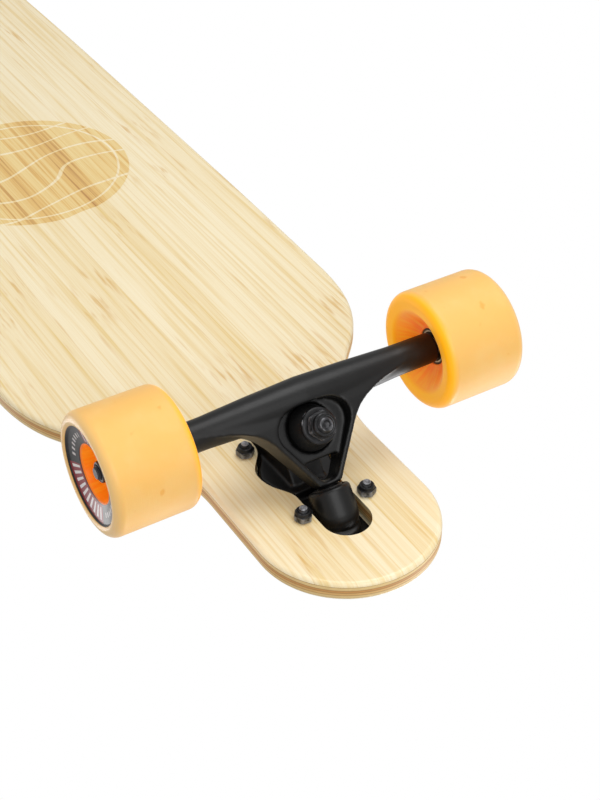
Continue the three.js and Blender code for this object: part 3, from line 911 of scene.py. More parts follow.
def both_trucks(made, part, body_of, nodes):
    """Puts a front piece and its copy for the rear truck on their bodies, each for its own nodes."""
    made.name = "front_" + part
    turned = in_scene("rear_" + part, made.data.copy())
    turned.data.transform(HALF_TURN)
    for end, piece in zip(ENDS, (made, turned)):
        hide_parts(*[f"{end}_{node}" for node in nodes])
        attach(piece, body_of(end))
    print("both", part, len(made.data.polygons), "faces each")


def on_deck(end):
    return "root"


def on_hanger(end):
    return end + "_hanger_body"


for node, body_of in (("hanger", on_hanger), ("baseplate", on_deck)):
    both_trucks(cast("front_" + node, node + "_skin"), "cast_" + node, body_of, [node])

# %% [markdown]
# ## Turned parts
#
# Bushings, washers, pins, races and wheels are all turned about an axis. Each is drawn as half a section,
# with its corners rounded by a helper, and spun in code. A Screw modifier does the same, but spinning in
# code lets the seam be closed and the section's own length be kept as a map, which the wheel's colours
# need.


# %% Turning
def rounded(section, radius, steps=3):
    """A section whose inner corners are rounded. Its first and last points stay."""
    points = [section[0]]
    for before, corner, after in zip(section, section[1:], section[2:]):
        here = Vector(corner)
        to_before, to_after = Vector(before) - here, Vector(after) - here
        reach = min(radius, to_before.length * 0.45, to_after.length * 0.45)
        start, end = here + to_before.normalized() * reach, here + to_after.normalized() * reach
        for i in range(steps + 1):
            t = i / steps
            points.append(tuple((1 - t) ** 2 * start + 2 * t * (1 - t) * here + t * t * end))
    return points + [section[-1]]


def closed(corners, radius):
    """A section that ends where it starts, with rounded corners. The first corner stays sharp."""
    return rounded(corners + corners[:1], radius)[1:]


def tube(inside, outside, low, high, radius):
    """The section of a plain tube or washer."""
    return closed([(inside, low), (outside, low), (outside, high), (inside, high)], radius)


def turning(name, section, frame_matrix, finish, segments=64, shut=False, angle=35):
    """Spins a section of (radius, distance) in millimetres about the frame's Z axis."""
    bm = bmesh.new()
    track = bm.loops.layers.uv.new("track")
    loop = section + section[:1] if shut else section
    lengths = [0.0]
    for a, b in zip(loop, loop[1:]):
        lengths.append(lengths[-1] + math.dist(a, b))
    rings = []
    for radius, along in section:
        turns = [2 * math.pi * i / segments for i in range(segments if radius > 1e-6 else 1)]
        rings.append([bm.verts.new(frame_matrix @ Vector((
            radius * math.cos(turn) * MM, radius * math.sin(turn) * MM, along * MM))) for turn in turns])
    if shut:
        rings.append(rings[0])
    for j, (low, high) in enumerate(zip(rings, rings[1:])):
        if len(low) == len(high) == 1:
            continue
        for i in range(segments):
            n = (i + 1) % segments
            corners = [(low[i % len(low)], i, j), (low[n % len(low)], i + 1, j),
                       (high[n % len(high)], i + 1, j + 1), (high[i % len(high)], i, j + 1)]
            if len(low) == 1:
                corners = [corners[0], corners[2], corners[3]]
            elif len(high) == 1:
                corners = corners[:3]
            face = bm.faces.new([corner[0] for corner in corners])
            for face_loop, (_, around, step) in zip(face.loops, corners):
                face_loop[track].uv = (around / segments, lengths[step] / lengths[-1])
    return finish_mesh(name, bm, angle=angle, materials=[finish])


def along_axis(origin, axis):
    """A frame whose Z axis runs along an axis from an origin."""
    turn = Vector(axis).normalized().to_track_quat("Z", "Y").to_matrix().to_4x4()
    return Matrix.Translation(origin) @ turn


# %% [markdown]
# ## Steering stack
#
# The kingpin holds the hanger between two rubber bushings, and a lock nut squeezes them. Everything here
# lines up on the kingpin, so it is measured along it: from the point where the kingpin crosses the
# steering axis, away from the deck.


# %% Kingpin frame
lean = joints["front_lean"]
steering = Vector(lean["axis"])
kingpin_way = Vector((steering.z, 0.0, -steering.x))
stack = along_axis(Vector(lean["pos_m"]), kingpin_way)
into_stack = stack.inverted()


def reach_in(node, base):
    """How far a node runs along a frame's Z axis, in millimetres: (least, most, largest radius)."""
    places = [base @ v.co for v in frame["nodes"][node].data.vertices]
    along = [p.z / MM for p in places]
    return min(along), max(along), max(math.hypot(p.x, p.y) for p in places) / MM


road_low, road_high, bushing_radius = reach_in("front_roadside_bushing", into_stack)
board_low, board_high, _ = reach_in("front_boardside_bushing", into_stack)
cup_low, cup_high, cup_radius = reach_in("front_roadside_washer", into_stack)
plate_low, plate_high, plate_radius = reach_in("front_boardside_washer", into_stack)
nut_low, nut_high, _ = reach_in("front_kingpin_nut", into_stack)
pin_low, pin_high, _ = reach_in("front_kingpin", into_stack)
print("bushing radius", round(bushing_radius, 1), "kingpin from", round(pin_low, 1), "to", round(pin_high, 1))


# %% [markdown]
# The bushings are the springs of the steering. The one towards the road is a cone and the one towards the
# deck a barrel, which is a usual pair. Each sits in a washer: a cupped one under the nut and a flat one
# on the baseplate.


# %% Bushings and washers
BORE = 5.1


def cone_bushing():
    """The roadside bushing: a cone that bulges a little under load."""
    top = bushing_radius - 3.9
    return closed([(BORE, road_low), (bushing_radius - 0.5, road_low), (bushing_radius, road_low + 2.6),
                   (bushing_radius - 0.6, road_low + 5.0), (top, road_high), (BORE, road_high)], 0.9)


def barrel_bushing():
    """The boardside bushing: a barrel with a lip at each end and a waist between."""
    r = bushing_radius
    waist = (board_low + board_high) / 2
    return closed([(BORE, board_low), (r - 0.3, board_low), (r, board_low + 2.2), (r - 0.7, waist),
                   (r, board_high - 2.2), (r - 0.3, board_high), (BORE, board_high)], 0.8)


def cupped_washer():
    """A pressed washer whose rim grips the bushing."""
    return closed([(BORE, cup_low + 1.2), (cup_radius - 1.6, cup_low + 1.2), (cup_radius - 1.0, cup_low),
                   (cup_radius, cup_low), (cup_radius, cup_high - 0.6), (cup_radius - 1.0, cup_high),
                   (BORE, cup_high)], 0.45)


for part, section, finish, slot in (
    ("roadside_bushing", cone_bushing(), bushing_rubber, "bushing_rubber"),
    ("boardside_bushing", barrel_bushing(), bushing_rubber, "bushing_rubber"),
    ("roadside_washer", cupped_washer(), blackened, "black_steel"),
    ("boardside_washer", tube(BORE, plate_radius, plate_low, plate_high, 0.4), blackened, "black_steel"),
):
    made = turning(part, section, stack, finish, shut=True)
    both_trucks(made, part + "_turned", on_deck, [part])


# %% [markdown]
# ## Lock nuts and bolts
#
# A lock nut is a hexagon whose top corners were turned to a cone, with a collar that holds a nylon ring.
# The cone cuts each flat in the curved line that makes a nut look like a nut. It is computed here: round
# the nut, the chamfer drops with the distance from the axis. Threads are drawn as a row of fine ridges.


# %% Nut and bolt meshes
CHAMFER_SLOPE = math.tan(math.radians(28))
CHAMFER_START = 0.15
THREAD_DEPTH = 0.42


def hexagon_radius(turn, flats):
    """The distance from the axis to a hexagon's side, in a direction."""
    sixth = math.radians(60)
    from_flat = (turn % sixth) - sixth / 2
    return flats / 2 / math.cos(from_flat)


def nut_rings(bm, profile, flats, count, base):
    """Rings of vertices from (radius, height, chamfer). With no radius a ring runs round the hexagon."""
    rings = []
    for radius, height, chamfer in profile:
        rings.append([])
        for i in range(count):
            turn = math.tau * i / count
            r = radius or hexagon_radius(turn, flats)
            drop = chamfer * CHAMFER_SLOPE * max(r - (flats / 2 - CHAMFER_START), 0.0)
            place = Vector((r * math.cos(turn), r * math.sin(turn), height + drop)) * MM
            rings[-1].append(bm.verts.new(base @ place))
    return rings


def spun_rings(bm, rings, ends=False):
    """Joins rings of vertices, all with the same count, into a skin, and fills its two ends if asked."""
    for low, high in zip(rings, rings[1:]):
        for i in range(len(low)):
            n = (i + 1) % len(low)
            bm.faces.new((low[i], low[n], high[n], high[i]))
    if ends:
        bm.faces.new(rings[0][::-1])
        bm.faces.new(rings[-1])


def lock_nut(name, flats, bore, height, finish, ring_finish, segments=72):
    """A nylon lock nut standing on the origin."""
    bm = bmesh.new()
    body = height * 0.70
    collar = flats / 2 - 0.35
    profile = [
        (bore, 0.35, 0), (bore + 0.35, 0, 0), (flats / 2 - 0.4, 0, 0),
        (None, 0.12, 1), (None, body - 0.12, -1), (collar + 0.05, body, 0),
        (collar, body + 0.1, 0), (collar, height - 0.9, 0), (collar - 0.25, height - 0.3, 0),
        (collar - 0.7, height, 0), (bore + 0.75, height, 0), (bore + 0.6, height - 0.25, 0),
        (bore + 0.1, height - 0.35, 0), (bore + 0.1, height - 1.4, 0), (bore, height - 1.6, 0),
    ]
    rings = nut_rings(bm, profile, flats, segments, Matrix.Identity(4))
    spun_rings(bm, rings + rings[:1])
    made = finish_mesh(name, bm, angle=28, materials=[finish, ring_finish])
    for polygon in made.data.polygons:
        centre = polygon.center
        if centre.z > (height - 1.45) * MM and math.hypot(centre.x, centre.y) < (bore + 0.5) * MM:
            polygon.material_index = 1
    return made


def thread(radius, low, high, pitch=0.8):
    """The section of a threaded stretch, from low to high."""
    root = radius - THREAD_DEPTH
    turns = max(round((high - low) / pitch), 1)
    step = (high - low) / turns
    points = []
    for i in range(turns):
        for r, share_of_step in ((root, 0.08), (radius, 0.42), (radius, 0.58), (root, 0.92)):
            points.append((r, low + (i + share_of_step) * step))
    return points


# %% [markdown]
# The kingpin is a bolt of 3/8 inch. Its hexagonal head sits in the baseplate and its threaded end, with a
# small centre hole from the lathe, stands out of the nut. The pin is turned and the head is built like a
# nut, and both are joined in one mesh, as on the real bolt.


# %% Kingpins
KINGPIN_RADIUS = 4.76
KINGPIN_FLATS = 14.3
HEAD_HEIGHT = 5.7


def kingpin_section():
    """Shank, thread and the drilled tip, from the head's underside outwards."""
    r, start, tip = KINGPIN_RADIUS, nut_low - 3.0, pin_high
    section = [(0, pin_low + 5.0), (r, pin_low + 5.0), (r, start - 0.6)]
    section += thread(r, start, tip - 0.9, pitch=1.06)
    section += [(r - 0.5, tip - 0.7), (r - 1.2, tip), (2.3, tip), (1.9, tip - 0.7), (0, tip - 1.5)]
    return section


def kingpin_piece():
    """The threaded pin and its hexagonal head in one mesh."""
    pin = turning("kingpin", kingpin_section(), stack, rubbed_thread_and_glints, segments=48)
    bm = bmesh.new()
    bm.from_mesh(pin.data)
    profile = [(KINGPIN_FLATS / 2 - 0.3, 0, 0), (None, 0.15, 1), (None, HEAD_HEIGHT, 0)]
    base = stack @ Matrix.Translation((0, 0, pin_low * MM))
    spun_rings(bm, nut_rings(bm, profile, KINGPIN_FLATS, 60, base), ends=True)
    bpy.data.objects.remove(pin)
    return finish_mesh("kingpin_with_head", bm, angle=28, materials=[rubbed_thread_and_glints])


both_trucks(kingpin_piece(), "kingpin_turned", on_deck, ["kingpin"])


def placed(made, base):
    """Moves a mesh to a frame, leaving its object at the origin."""
    made.data.transform(base)
    return made


nut_height = nut_high - nut_low
big_nut = lock_nut("kingpin_lock_nut", KINGPIN_FLATS, 4.9, nut_height, blackened, nylon)
placed(big_nut, stack @ Matrix.Translation((0, 0, nut_low * MM)) @ Matrix.Rotation(math.radians(11), 4, "Z"))
both_trucks(big_nut, "kingpin_lock_nut", on_deck, ["kingpin_nut"])

# %% [markdown]
# The pivot cup is a soft sleeve that lines the boss. Only its rim shows, where the hanger's nose enters.


# %% Pivot cup
pivot_frame = along_axis(Vector(lean["pos_m"]), steering)
mouth, bottom, cup_outside = reach_in("front_pivot_cup", pivot_frame.inverted())
pin_radius = 5.9
cup = [(0, bottom - 1.0), (4.4, bottom - 1.8), (pin_radius, bottom - 6.0), (pin_radius, mouth + 0.4),
       (pin_radius + 0.5, mouth), (cup_outside - 0.5, mouth), (cup_outside, mouth + 0.5),
       (cup_outside, bottom - 0.4), (cup_outside - 0.5, bottom), (0, bottom)]
both_trucks(turning("pivot_sleeve", cup, pivot_frame, bushing_rubber, segments=48), "pivot_sleeve",
            on_deck, ["pivot_cup"])

# %% [markdown]
# ## Mounting hardware
#
# Four bolts hold each truck. They are the same piece four times over, so Geometry Nodes set them out: a
# grid of two by two points, a copy on each, and a random turn so that no two nuts line up. The tree is
# built once and used for the bolts and for the nuts, and the rear truck gets a turned copy of both.


# %% Geometry Nodes helpers
def growing_tree(name, inputs):
    """An empty Geometry Nodes tree with named inputs, and the identifiers of their sockets."""
    tree = bpy.data.node_groups.new(name, "GeometryNodeTree")
    sockets = {}
    for label, kind in inputs:
        socket = tree.interface.new_socket(label, in_out="INPUT", socket_type="NodeSocket" + kind)
        sockets[label] = socket.identifier
    tree.interface.new_socket("Geometry", in_out="OUTPUT", socket_type="NodeSocketGeometry")
    return tree, sockets


def copies_on(tree, given, points, piece, turn=None):
    """The end of a tree: a copy of the piece on each point, made real and given its finish."""
    add, link = tree.nodes.new, tree.links.new
    copies = add("GeometryNodeInstanceOnPoints")
    link(points, copies.inputs["Points"])
    link(piece, copies.inputs["Instance"])
    if turn is not None:
        link(turn, copies.inputs["Rotation"])
    real = add("GeometryNodeRealizeInstances")
    link(copies.outputs[0], real.inputs[0])
    coated = add("GeometryNodeSetMaterial")
    link(real.outputs[0], coated.inputs["Geometry"])
    link(given["Finish"], coated.inputs["Material"])
    link(coated.outputs[0], add("NodeGroupOutput").inputs["Geometry"])


def grown(name, tree, sockets, values):
    """What a tree makes from its input values, as a plain mesh object."""
    holder = in_scene(name, bpy.data.meshes.new(name))
    modifier = holder.modifiers.new("grown", "NODES")
    modifier.node_group = tree
    for label, value in values.items():
        modifier[sockets[label]] = value
    return applied(holder)


# %% Bolt pattern tree
def pattern_tree():
    """Geometry nodes that place one piece on the four points of a bolt pattern."""
    tree, sockets = growing_tree("bolt_pattern", (
        ("Piece", "Object"), ("Spacing X", "Float"), ("Spacing Y", "Float"), ("Centre", "Vector"),
        ("Seed", "Int"), ("Finish", "Material")))
    add, link = tree.nodes.new, tree.links.new
    given = add("NodeGroupInput").outputs
    grid = add("GeometryNodeMeshGrid")
    for axis in ("X", "Y"):
        grid.inputs["Vertices " + axis].default_value = 2
        link(given["Spacing " + axis], grid.inputs["Size " + axis])
    shift = add("GeometryNodeTransform")
    link(grid.outputs["Mesh"], shift.inputs["Geometry"])
    link(given["Centre"], shift.inputs["Translation"])
    source = add("GeometryNodeObjectInfo")
    link(given["Piece"], source.inputs["Object"])
    turn = add("FunctionNodeRandomValue")
    turn.data_type = "FLOAT_VECTOR"
    turn.inputs[0].default_value = (0, 0, 0)
    turn.inputs[1].default_value = (0, 0, math.tau)
    link(given["Seed"], turn.inputs["Seed"])
    copies_on(tree, given, shift.outputs[0], source.outputs["Geometry"], turn.outputs[0])
    return tree, sockets


bolt_pattern, pattern_sockets = pattern_tree()
bolt_xs, bolt_ys = [place.x for place in nut_places], [place.y for place in nut_places]
PATTERN = {"Spacing X": max(bolt_xs) - min(bolt_xs), "Spacing Y": max(bolt_ys) - min(bolt_ys)}
print("bolt pattern", {label: round(value / MM, 1) for label, value in PATTERN.items()}, "mm")


def set_out(name, source, level, seed, finish):
    """Four copies of a piece on the front truck's bolt pattern."""
    values = PATTERN | {"Piece": source, "Centre": (bolts_x, 0.0, level), "Seed": seed, "Finish": finish}
    made = grown(name, bolt_pattern, pattern_sockets, values)
    bpy.data.objects.remove(source)
    return made


# %% [markdown]
# The nuts hang under the deck with their nylon collars down, and the bolts' domed heads lie on the
# baseplate on top. Both are measured from the working model, then built once and set out by the tree.


# %% Bolts and nuts
SMALL_NUT_FLATS = 9.5
BOLT_RADIUS = 2.4
BOLT_THREAD = 7.9
BOLT_HEAD_RADIUS = 4.6
BOLT_HEAD_HEIGHT = 2.8
nut_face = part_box("front_mounting_nut_1")[1].z
nut_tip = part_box("front_mounting_nut_1")[0].z
bolt_low, bolt_high = (corner.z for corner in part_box("front_mounting_bolt_1"))

small_nut = lock_nut("small_nut", SMALL_NUT_FLATS, BOLT_RADIUS + 0.15, (nut_face - nut_tip) / MM,
                     blackened, nylon, segments=48)
small_nut.data.transform(Matrix.Rotation(math.pi, 4, "X"))
nuts = set_out("mounting_nuts", small_nut, nut_face, 4, blackened)


def bolt_section():
    """A mounting bolt from its thread's tip up to its domed head, with a hexagon socket's floor."""
    r, wide = BOLT_RADIUS, BOLT_HEAD_RADIUS
    top = (bolt_high - bolt_low) / MM
    head = top - BOLT_HEAD_HEIGHT
    section = [(0, 0), (r - 0.6, 0), (r - 0.1, 0.5)]
    section += thread(r, 0.7, BOLT_THREAD)
    section += [(r, BOLT_THREAD + 0.3), (r, head), (wide, head), (wide, head + 1.2), (wide - 0.5, top - 0.6),
                (wide - 1.4, top), (1.85, top), (1.75, top - 0.2), (1.75, head + 1.2), (0, head + 1.0)]
    return section


bolt = turning("bolt", bolt_section(), Matrix.Identity(4), rubbed_thread_and_glints, segments=32)
bolts_out = set_out("mounting_bolts", bolt, bolt_low, 9, rubbed_thread_and_glints)
numbers = (1, 2, 3, 4)
both_trucks(nuts, "mounting_nuts_set", on_deck, [f"mounting_nut_{i}" for i in numbers])
both_trucks(bolts_out, "mounting_bolts_set", on_deck, [f"mounting_bolt_{i}" for i in numbers])

# %% [markdown]
# ## Wheels
#
# A wheel is poured urethane. Its tread is left matt by grinding, with fine lines round it, while its lips
# and its hollow stay as glossy as the mould, and look deeper in colour because light goes further into
# them. The outside face carries a printed ring. All of this follows the section, so it is keyed on the
# length of the section that the turning kept as a map: one coordinate runs round the wheel and the other
# along the section.


# %% Wheel section
wheel_low, wheel_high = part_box("front_left_wheel")
wheel_radius = (wheel_high.z - wheel_low.z) / 2 / MM
wheel_half = (wheel_high.y - wheel_low.y) / 2 / MM
wheel_middle = (wheel_high.y + wheel_low.y) / 2
hub_middle = middle("front_left_bearing_sleeve").y
hub = (abs(hub_middle) - abs(wheel_middle)) / MM
BEARING_SEAT = 11.1
SEAT_END = 12.3
LIP_RADIUS = 5.5
PRINT_INSIDE, PRINT_OUTSIDE = 16.8, 27.8


def wheel_section():
    """Half a wheel's section from the inboard seat over the tread to the outboard seat, and back inside."""
    lip, r, h = LIP_RADIUS, wheel_radius, wheel_half
    inboard = [(BEARING_SEAT, hub - SEAT_END), (13.5, hub - SEAT_END - 0.6), (17.3, hub - SEAT_END - 3.4),
               (23.2, -h + 1.6), (25.2, -h + 0.5), (r - lip, -h)]
    lower_lip = arc((r - lip, lip - h), lip, -90, 0, 8)[1:] + [(r, lip - h)]
    upper_lip = arc((r - lip, h - lip), lip, 0, 90, 8) + [(r - lip, h)]
    outboard = [(PRINT_OUTSIDE, h - 0.8), (PRINT_OUTSIDE - 0.9, h - 2.2), (PRINT_INSIDE + 0.5, h - 4.2),
                (PRINT_INSIDE - 0.7, h - 5.0), (15.4, hub + SEAT_END + 4.0), (13.5, hub + SEAT_END + 0.6),
                (BEARING_SEAT, hub + SEAT_END)]
    core = [(BEARING_SEAT, hub + 4.8), (9.6, hub + 4.6), (9.6, hub - 4.6), (BEARING_SEAT, hub - 4.8)]
    return inboard, lower_lip, upper_lip, outboard, core


inboard, lower_lip, upper_lip, outboard, core = wheel_section()
soft_inboard = rounded(inboard + lower_lip[:1], 1.6)[:-1]
soft_outboard = rounded(upper_lip[-1:] + outboard, 1.1)[1:]
wheel_line = soft_inboard + lower_lip + upper_lip + soft_outboard + core
full_length = sum(math.dist(a, b) for a, b in zip(wheel_line, wheel_line[1:] + wheel_line[:1]))


def share(point):
    """How far along the section its nearest point lies, from 0 to 1."""
    run, best = 0.0, (1e9, 0.0)
    for a, b in zip(wheel_line, wheel_line[1:]):
        best = min(best, (math.dist(a, point), run))
        run += math.dist(a, b)
    return best[1] / full_length


seat_in = share((BEARING_SEAT, hub - SEAT_END))
cone_in = share((17.3, hub - SEAT_END - 3.4))
rim_in = share((24.0, -wheel_half + 1.0))
lip_in = share(lower_lip[3])
tread_in = share(lower_lip[-1])
tread_out = share(upper_lip[0])
lip_out = share(upper_lip[5])
print_start = share((PRINT_OUTSIDE, wheel_half - 1.1))
print_end = share((PRINT_INSIDE, wheel_half - 4.7))
cone_out = share((15.4, hub + SEAT_END + 4.0))
print("wheel section:", len(wheel_line), "points, tread from", round(tread_in, 2), "to", round(tread_out, 2))


# %% [markdown]
# The printed ring is replaced by plain bars and a block, because what is printed on such a wheel is a
# mark. The ring's two coordinates make this easy: bars are steps round the wheel, and their ends are
# steps across the ring.


# %% Printed ring
BARS = 38
PRINT_TURN = -0.05


def printed_ring(m, around, along):
    """The ring's mask and its ink: tall bars on red for half of each half turn, and small ones on black."""
    across = m.math("DIVIDE", m.less(along, print_start), print_end - print_start)
    bar = m.band(m.math("FRACT", m.times(around, BARS)), 0.26, 0.74, 0.05)
    half_turn = m.math("FRACT", m.times(around, 2.0))
    wide = m.fade(half_turn, 0.545, 0.535)
    narrow = m.band(half_turn, 0.60, 0.935, 0.005)
    tall_bar = m.times(bar, m.band(across, 0.20, 0.82, 0.03))
    short_bar = m.times(bar, m.band(across, 0.40, 0.66, 0.03))
    red_field = m.times(wide, m.band(across, 0.08, 0.93, 0.02))
    ink = m.mix(m.fade(m.noise(m.place, 700.0, 3.0), 0.4, 0.75), colour(20, 19, 20), colour(46, 44, 45))
    ink = m.mix(red_field, ink, colour(140, 28, 38))
    ink = m.mix(m.times(wide, tall_bar), ink, colour(232, 224, 222))
    ink = m.mix(m.times(narrow, short_bar), ink, colour(214, 204, 202))
    whole = m.fade(m.noise(m.place, 260.0, 4.0, 0.7), 0.24, 0.30)
    return m.times(m.band(along, print_start - 0.003, print_end, 0.003), whole), ink


# %% [markdown]
# Thin urethane glows a little, because light enters the tread and comes out in the hollow. Scattering
# below the surface does part of this. It stays dark in a hollow as deep as this one, so the rest is painted
# light: a weak emission in the urethane's own colour, a glow in the hollow and on the inner lip alone that
# lifts their shade.


# %% Urethane
def urethane():
    """Orange urethane: matt ground tread, glossy lips and hollow, and a printed ring of plain bars."""
    made, m = material("poured_urethane", roughness=0.4, Subsurface_Weight=0.1, Subsurface_Scale=0.004,
                       Subsurface_Radius=(1.0, 0.45, 0.12), Sheen_Weight=0.2, Sheen_Roughness=0.4,
                       Emission_Strength=0.34)
    split = m.axes(m.add("ShaderNodeUVMap", {"uv_map": "track"}).outputs[0])
    around, along = split["X"], split["Y"]
    tread = colour(254, 196, 104)
    blond = colour(255, 208, 134)
    lip = colour(255, 176, 8)
    rim = colour(252, 152, 28)
    deep = colour(255, 128, 2)
    inmost = colour(246, 98, 4)
    tone = m.ramp(along, (seat_in, inmost), (cone_in, deep), (rim_in - 0.012, rim), (rim_in + 0.012, lip),
                  (lip_in, lip), (tread_in, tread), (tread_out, tread), (lip_out, blond),
                  (print_start - 0.003, blond), (print_start, lip), (print_end, deep), (cone_out, deep),
                  (cone_out + 0.06, inmost))
    on_tread = m.band(along, tread_in - 0.02, tread_out + 0.02, 0.03)
    blush = m.times(m.fade(m.noise(m.place, 42.0, 3.0, 0.6), 0.42, 0.72), on_tread)
    tone = m.mix(m.times(blush, 0.3), tone, colour(254, 210, 136))
    turn = m.times(around, math.tau)
    ray_place = m.add("ShaderNodeCombineXYZ", X=m.times(m.math("COSINE", turn), 7.0),
                      Y=m.times(m.math("SINE", turn), 7.0), Z=m.times(along, 5.0)).outputs[0]
    rays = m.noise(ray_place, 1.0, 3.0, 0.6)
    in_hollow = m.larger(m.fade(along, rim_in, rim_in - 0.02), m.fade(along, print_end, print_end + 0.01))
    streaks = m.times(in_hollow, m.fade(rays, 0.42, 0.66))
    tone = m.mix(m.times(streaks, 0.45), tone, colour(255, 176, 40))
    specks = m.times(m.fade(m.noise(m.place, 95.0, 2.0, 0.5), 0.68, 0.76), on_tread)
    tone = m.mix(m.times(specks, 0.5), tone, colour(240, 160, 36))

    turned = m.plus(around, PRINT_TURN)
    printed, ink = printed_ring(m, turned, along)
    base = m.mix(printed, tone, ink)
    # painted glow: the inner lip and both hollows get an emission in their own colour, which lifts their
    # shade
    outer_hollow_glow = m.fade(along, print_end - 0.005, print_end + 0.01)
    inside = m.larger(m.fade(along, tread_in, lip_in), outer_hollow_glow)
    m.feed(m.surface, "Emission Color", m.mix(inside, (0, 0, 0, 1), tone))
    round_lines = m.add("ShaderNodeCombineXYZ", X=m.times(turned, 3.0), Y=m.times(along, 420.0)).outputs[0]
    lines = m.noise(round_lines, 1.0, 2.0, 0.6)
    height = m.times_plus(m.times(lines, on_tread), 1.0, m.times(m.noise(m.place, 500.0, 2.0), 0.25))
    rough = m.times_plus(on_tread, 0.26, m.times_plus(lines, 0.08, 0.28))
    dress(m, base, rough, height, depth=0.10 * MM, strength=0.55)
    return made


poured = urethane()


def axle_frame(end, hand, reach):
    """A frame on an axle, a distance out from the board's middle, whose Z axis points outboard."""
    outward = 1 if hand == "left" else -1
    place = joints[f"{end}_{hand}_wheel_spin"]["pos_m"]
    return along_axis(Vector((place[0], outward * abs(reach), place[2])), (0, outward, 0))


# %% [markdown]
# ## Bearings, spacers and axle nuts
#
# Each wheel turns on two ball bearings. A shield closes each one, so that only two bright rings with a
# black one between them show. The seven balls sit behind it in a ring, which Geometry Nodes set out
# again. Outside the bearings lie a thin speed washer and the axle's lock nut.


# %% Ball ring tree
BALLS = 7
PITCH_RADIUS = 7.5 * MM
BALL_RADIUS = 1.38 * MM


def ball_ring_tree():
    """Geometry nodes that set balls out on a circle about Z."""
    tree, sockets = growing_tree("ball_ring", (
        ("Balls", "Int"), ("Pitch Radius", "Float"), ("Ball Radius", "Float"), ("Finish", "Material")))
    add, link = tree.nodes.new, tree.links.new
    given = add("NodeGroupInput").outputs
    circle = add("GeometryNodeMeshCircle")
    link(given["Balls"], circle.inputs["Vertices"])
    link(given["Pitch Radius"], circle.inputs["Radius"])
    ball = add("GeometryNodeMeshIcoSphere")
    ball.inputs["Subdivisions"].default_value = 2
    link(given["Ball Radius"], ball.inputs["Radius"])
    smooth = add("GeometryNodeSetShadeSmooth")
    link(ball.outputs[0], smooth.inputs["Geometry"])
    copies_on(tree, given, circle.outputs[0], smooth.outputs["Geometry"])
    return tree, sockets


ball_ring, ball_sockets = ball_ring_tree()


def balls(name):
    """One ring of balls round the origin."""
    return grown(name, ball_ring, ball_sockets, {
        "Balls": BALLS, "Pitch Radius": PITCH_RADIUS, "Ball Radius": BALL_RADIUS, "Finish": plated})


# %% [markdown]
# A bearing of this kind is 22 mm across, 7 mm wide and has a bore of 8 mm. It is drawn as what it is made
# of: the outer race, the ground lip that stays bright beside the shield, the pressed shield, the balls
# and the inner race. The inner races and the spacer between them are clamped by the axle nut, so they are
# one turned sleeve.


# %% Bearing sections
BEARING = {"bore": 4.15, "inner": 6.0, "raceway": 8.9, "groove": 9.6, "outer": 10.95,
           "width": 7.0, "gap": 10.0}
SHIELD = 0.5
SHIELD_DEPTH = 0.25
near = BEARING["gap"] / 2
far = near + BEARING["width"]
print("bearings from", near, "to", far, "mm beside the hub's middle")


def shield(low, high):
    """A pressed rubber shield with a step, just inside a bearing's face."""
    b = BEARING
    return closed([(b["inner"] + 0.15, low), (b["raceway"], low), (b["raceway"], high), (8.2, high),
                   (8.0, high - 0.18), (6.9, high - 0.18), (6.6, high), (b["inner"] + 0.15, high)], 0.12)


def sleeve_line():
    """Both inner races and the spacer between them, as one turned piece."""
    b = BEARING
    bore, inner = b["bore"], b["inner"]
    spacer = inner - 0.9
    return closed([(bore, -far), (inner, -far), (inner, -near), (spacer, -near + 0.15), (spacer, near - 0.15),
                   (inner, near), (inner, far), (bore, far)], 0.3)


def joined(name, pieces):
    """Several mesh objects as one."""
    bm = bmesh.new()
    finishes = []
    for piece in pieces:
        start = len(bm.faces)
        bm.from_mesh(piece.data)
        bm.faces.ensure_lookup_table()
        for face in bm.faces[start:]:
            item = piece.data.materials[face.material_index]
            if item not in finishes:
                finishes.append(item)
            face.material_index = finishes.index(item)
        bpy.data.objects.remove(piece)
    mesh = bpy.data.meshes.new(name)
    bm.to_mesh(mesh)
    bm.free()
    for item in finishes:
        mesh.materials.append(item)
    return in_scene(name, mesh)


# %% [markdown]
# Each corner of the board is the same set of pieces on its own stretch of axle, so one function dresses
# all four. The wheel and the outer races turn together, while the sleeve, the washers and the nut stay
# with the hanger.


# %% One corner of the board
AXLE_NUT_FLATS = 12.7
AXLE_NUT_HEIGHT = 8.0
AXLE_NUT_GAP = 1.3
WASHER_BORE = 4.1
WASHER_RADIUS = 5.6


def washer(low, high):
    """The section of a thin speed washer, which keeps the nut off the outer race."""
    return tube(WASHER_BORE, WASHER_RADIUS, low, high, 0.15)


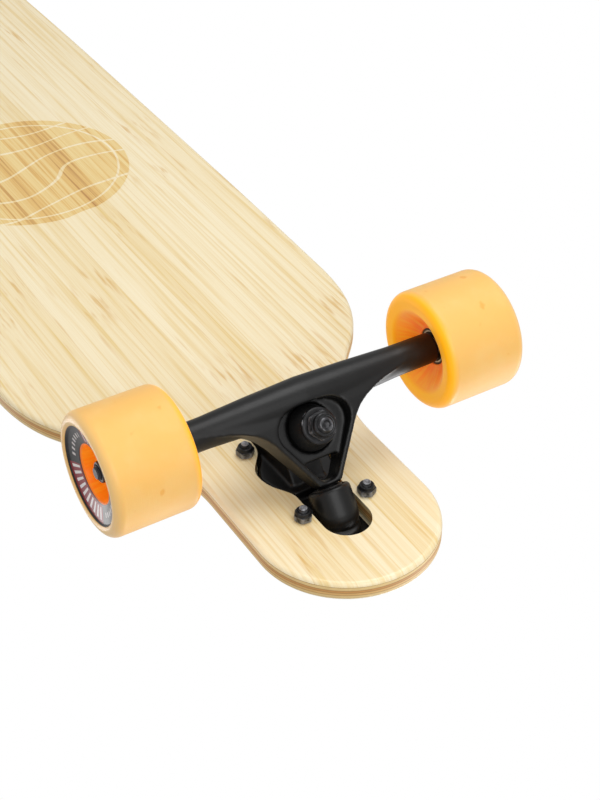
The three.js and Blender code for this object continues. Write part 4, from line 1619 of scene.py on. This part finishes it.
def dress_corner(end, hand):
    """A wheel, its bearings and what holds it on, for one end of one axle."""
    corner = f"{end}_{hand}"
    base = axle_frame(end, hand, hub_middle)
    spinning = corner + "_wheel_body"
    still = end + "_hanger_body"

    wheel = turning(corner + "_poured_wheel", wheel_line, axle_frame(end, hand, wheel_middle), poured,
                    segments=128, shut=True, angle=50)
    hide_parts(corner + "_wheel")
    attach(wheel, spinning)

    for place, low, high in (("inboard", -far, -near), ("outboard", near, far)):
        outside, inwards = (low, SHIELD_DEPTH) if place == "inboard" else (high - SHIELD, -SHIELD_DEPTH)
        race_section = tube(BEARING["groove"], BEARING["outer"], low, high, 0.35)
        lip_section = tube(BEARING["raceway"], BEARING["groove"], low + 0.12, high - 0.12, 0.1)
        parts = [turning("race", race_section, base, blackened, shut=True),
                 turning("lip", lip_section, base, plated, shut=True),
                 turning("shield", shield(outside + inwards, outside + inwards + SHIELD), base, shield_rubber,
                         shut=True)]
        ring = balls("balls")
        ring.data.transform(base @ Matrix.Translation((0, 0, (low + high) / 2 * MM)))
        race = joined(f"{corner}_{place}_race", parts + [ring])
        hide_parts(f"{corner}_{place}_bearing")
        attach(race, spinning)

    sleeve = joined(corner + "_inner_races", [
        turning("sleeve", sleeve_line(), base, plated, segments=48, shut=True),
        turning("washer_in", washer(-far - 0.95, -far - 0.05), base, plated, segments=48, shut=True),
        turning("washer_out", washer(far + 0.05, far + 0.95), base, plated, segments=48, shut=True),
    ])
    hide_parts(corner + "_bearing_sleeve")
    nut = lock_nut(corner + "_lock_nut", AXLE_NUT_FLATS, WASHER_BORE, AXLE_NUT_HEIGHT, dulled, nylon)
    seat = Matrix.Translation((0, 0, (far + AXLE_NUT_GAP) * MM))
    placed(nut, base @ seat @ Matrix.Rotation(math.radians(17), 4, "Z"))
    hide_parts(corner + "_axle_nut")
    for piece in (sleeve, nut):
        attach(piece, still)


for end in ENDS:
    for hand in HANDS:
        dress_corner(end, hand)
print("four wheels with their bearings and nuts")


# %% [markdown]
# One steel bar runs through each hanger and carries both wheels. It is turned like the other round parts,
# with a fine thread at each end.


# %% Axles
AXLE_RADIUS = 3.94


def axle_line(half):
    """A plain bar with a threaded and chamfered end each side."""
    r, start = AXLE_RADIUS, far + abs(hub_middle) / MM
    outer = [(0, half), (r - 0.9, half), (r - 0.2, half - 0.8)]
    ridges = thread(r, start, half - 1.0, pitch=1.06)[::-1]
    right = outer + ridges + [(r, start - 0.4)]
    left = [(radius, -along) for radius, along in reversed(right)]
    return right + left


axle_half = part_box("front_axle")[1].y / MM
axle_place = along_axis((axle_x, 0, axle_z), (0, 1, 0))
axle = turning("axle_bar", axle_line(axle_half), axle_place, dulled, segments=48)
both_trucks(axle, "axle_bar", on_hanger, ["axle"])
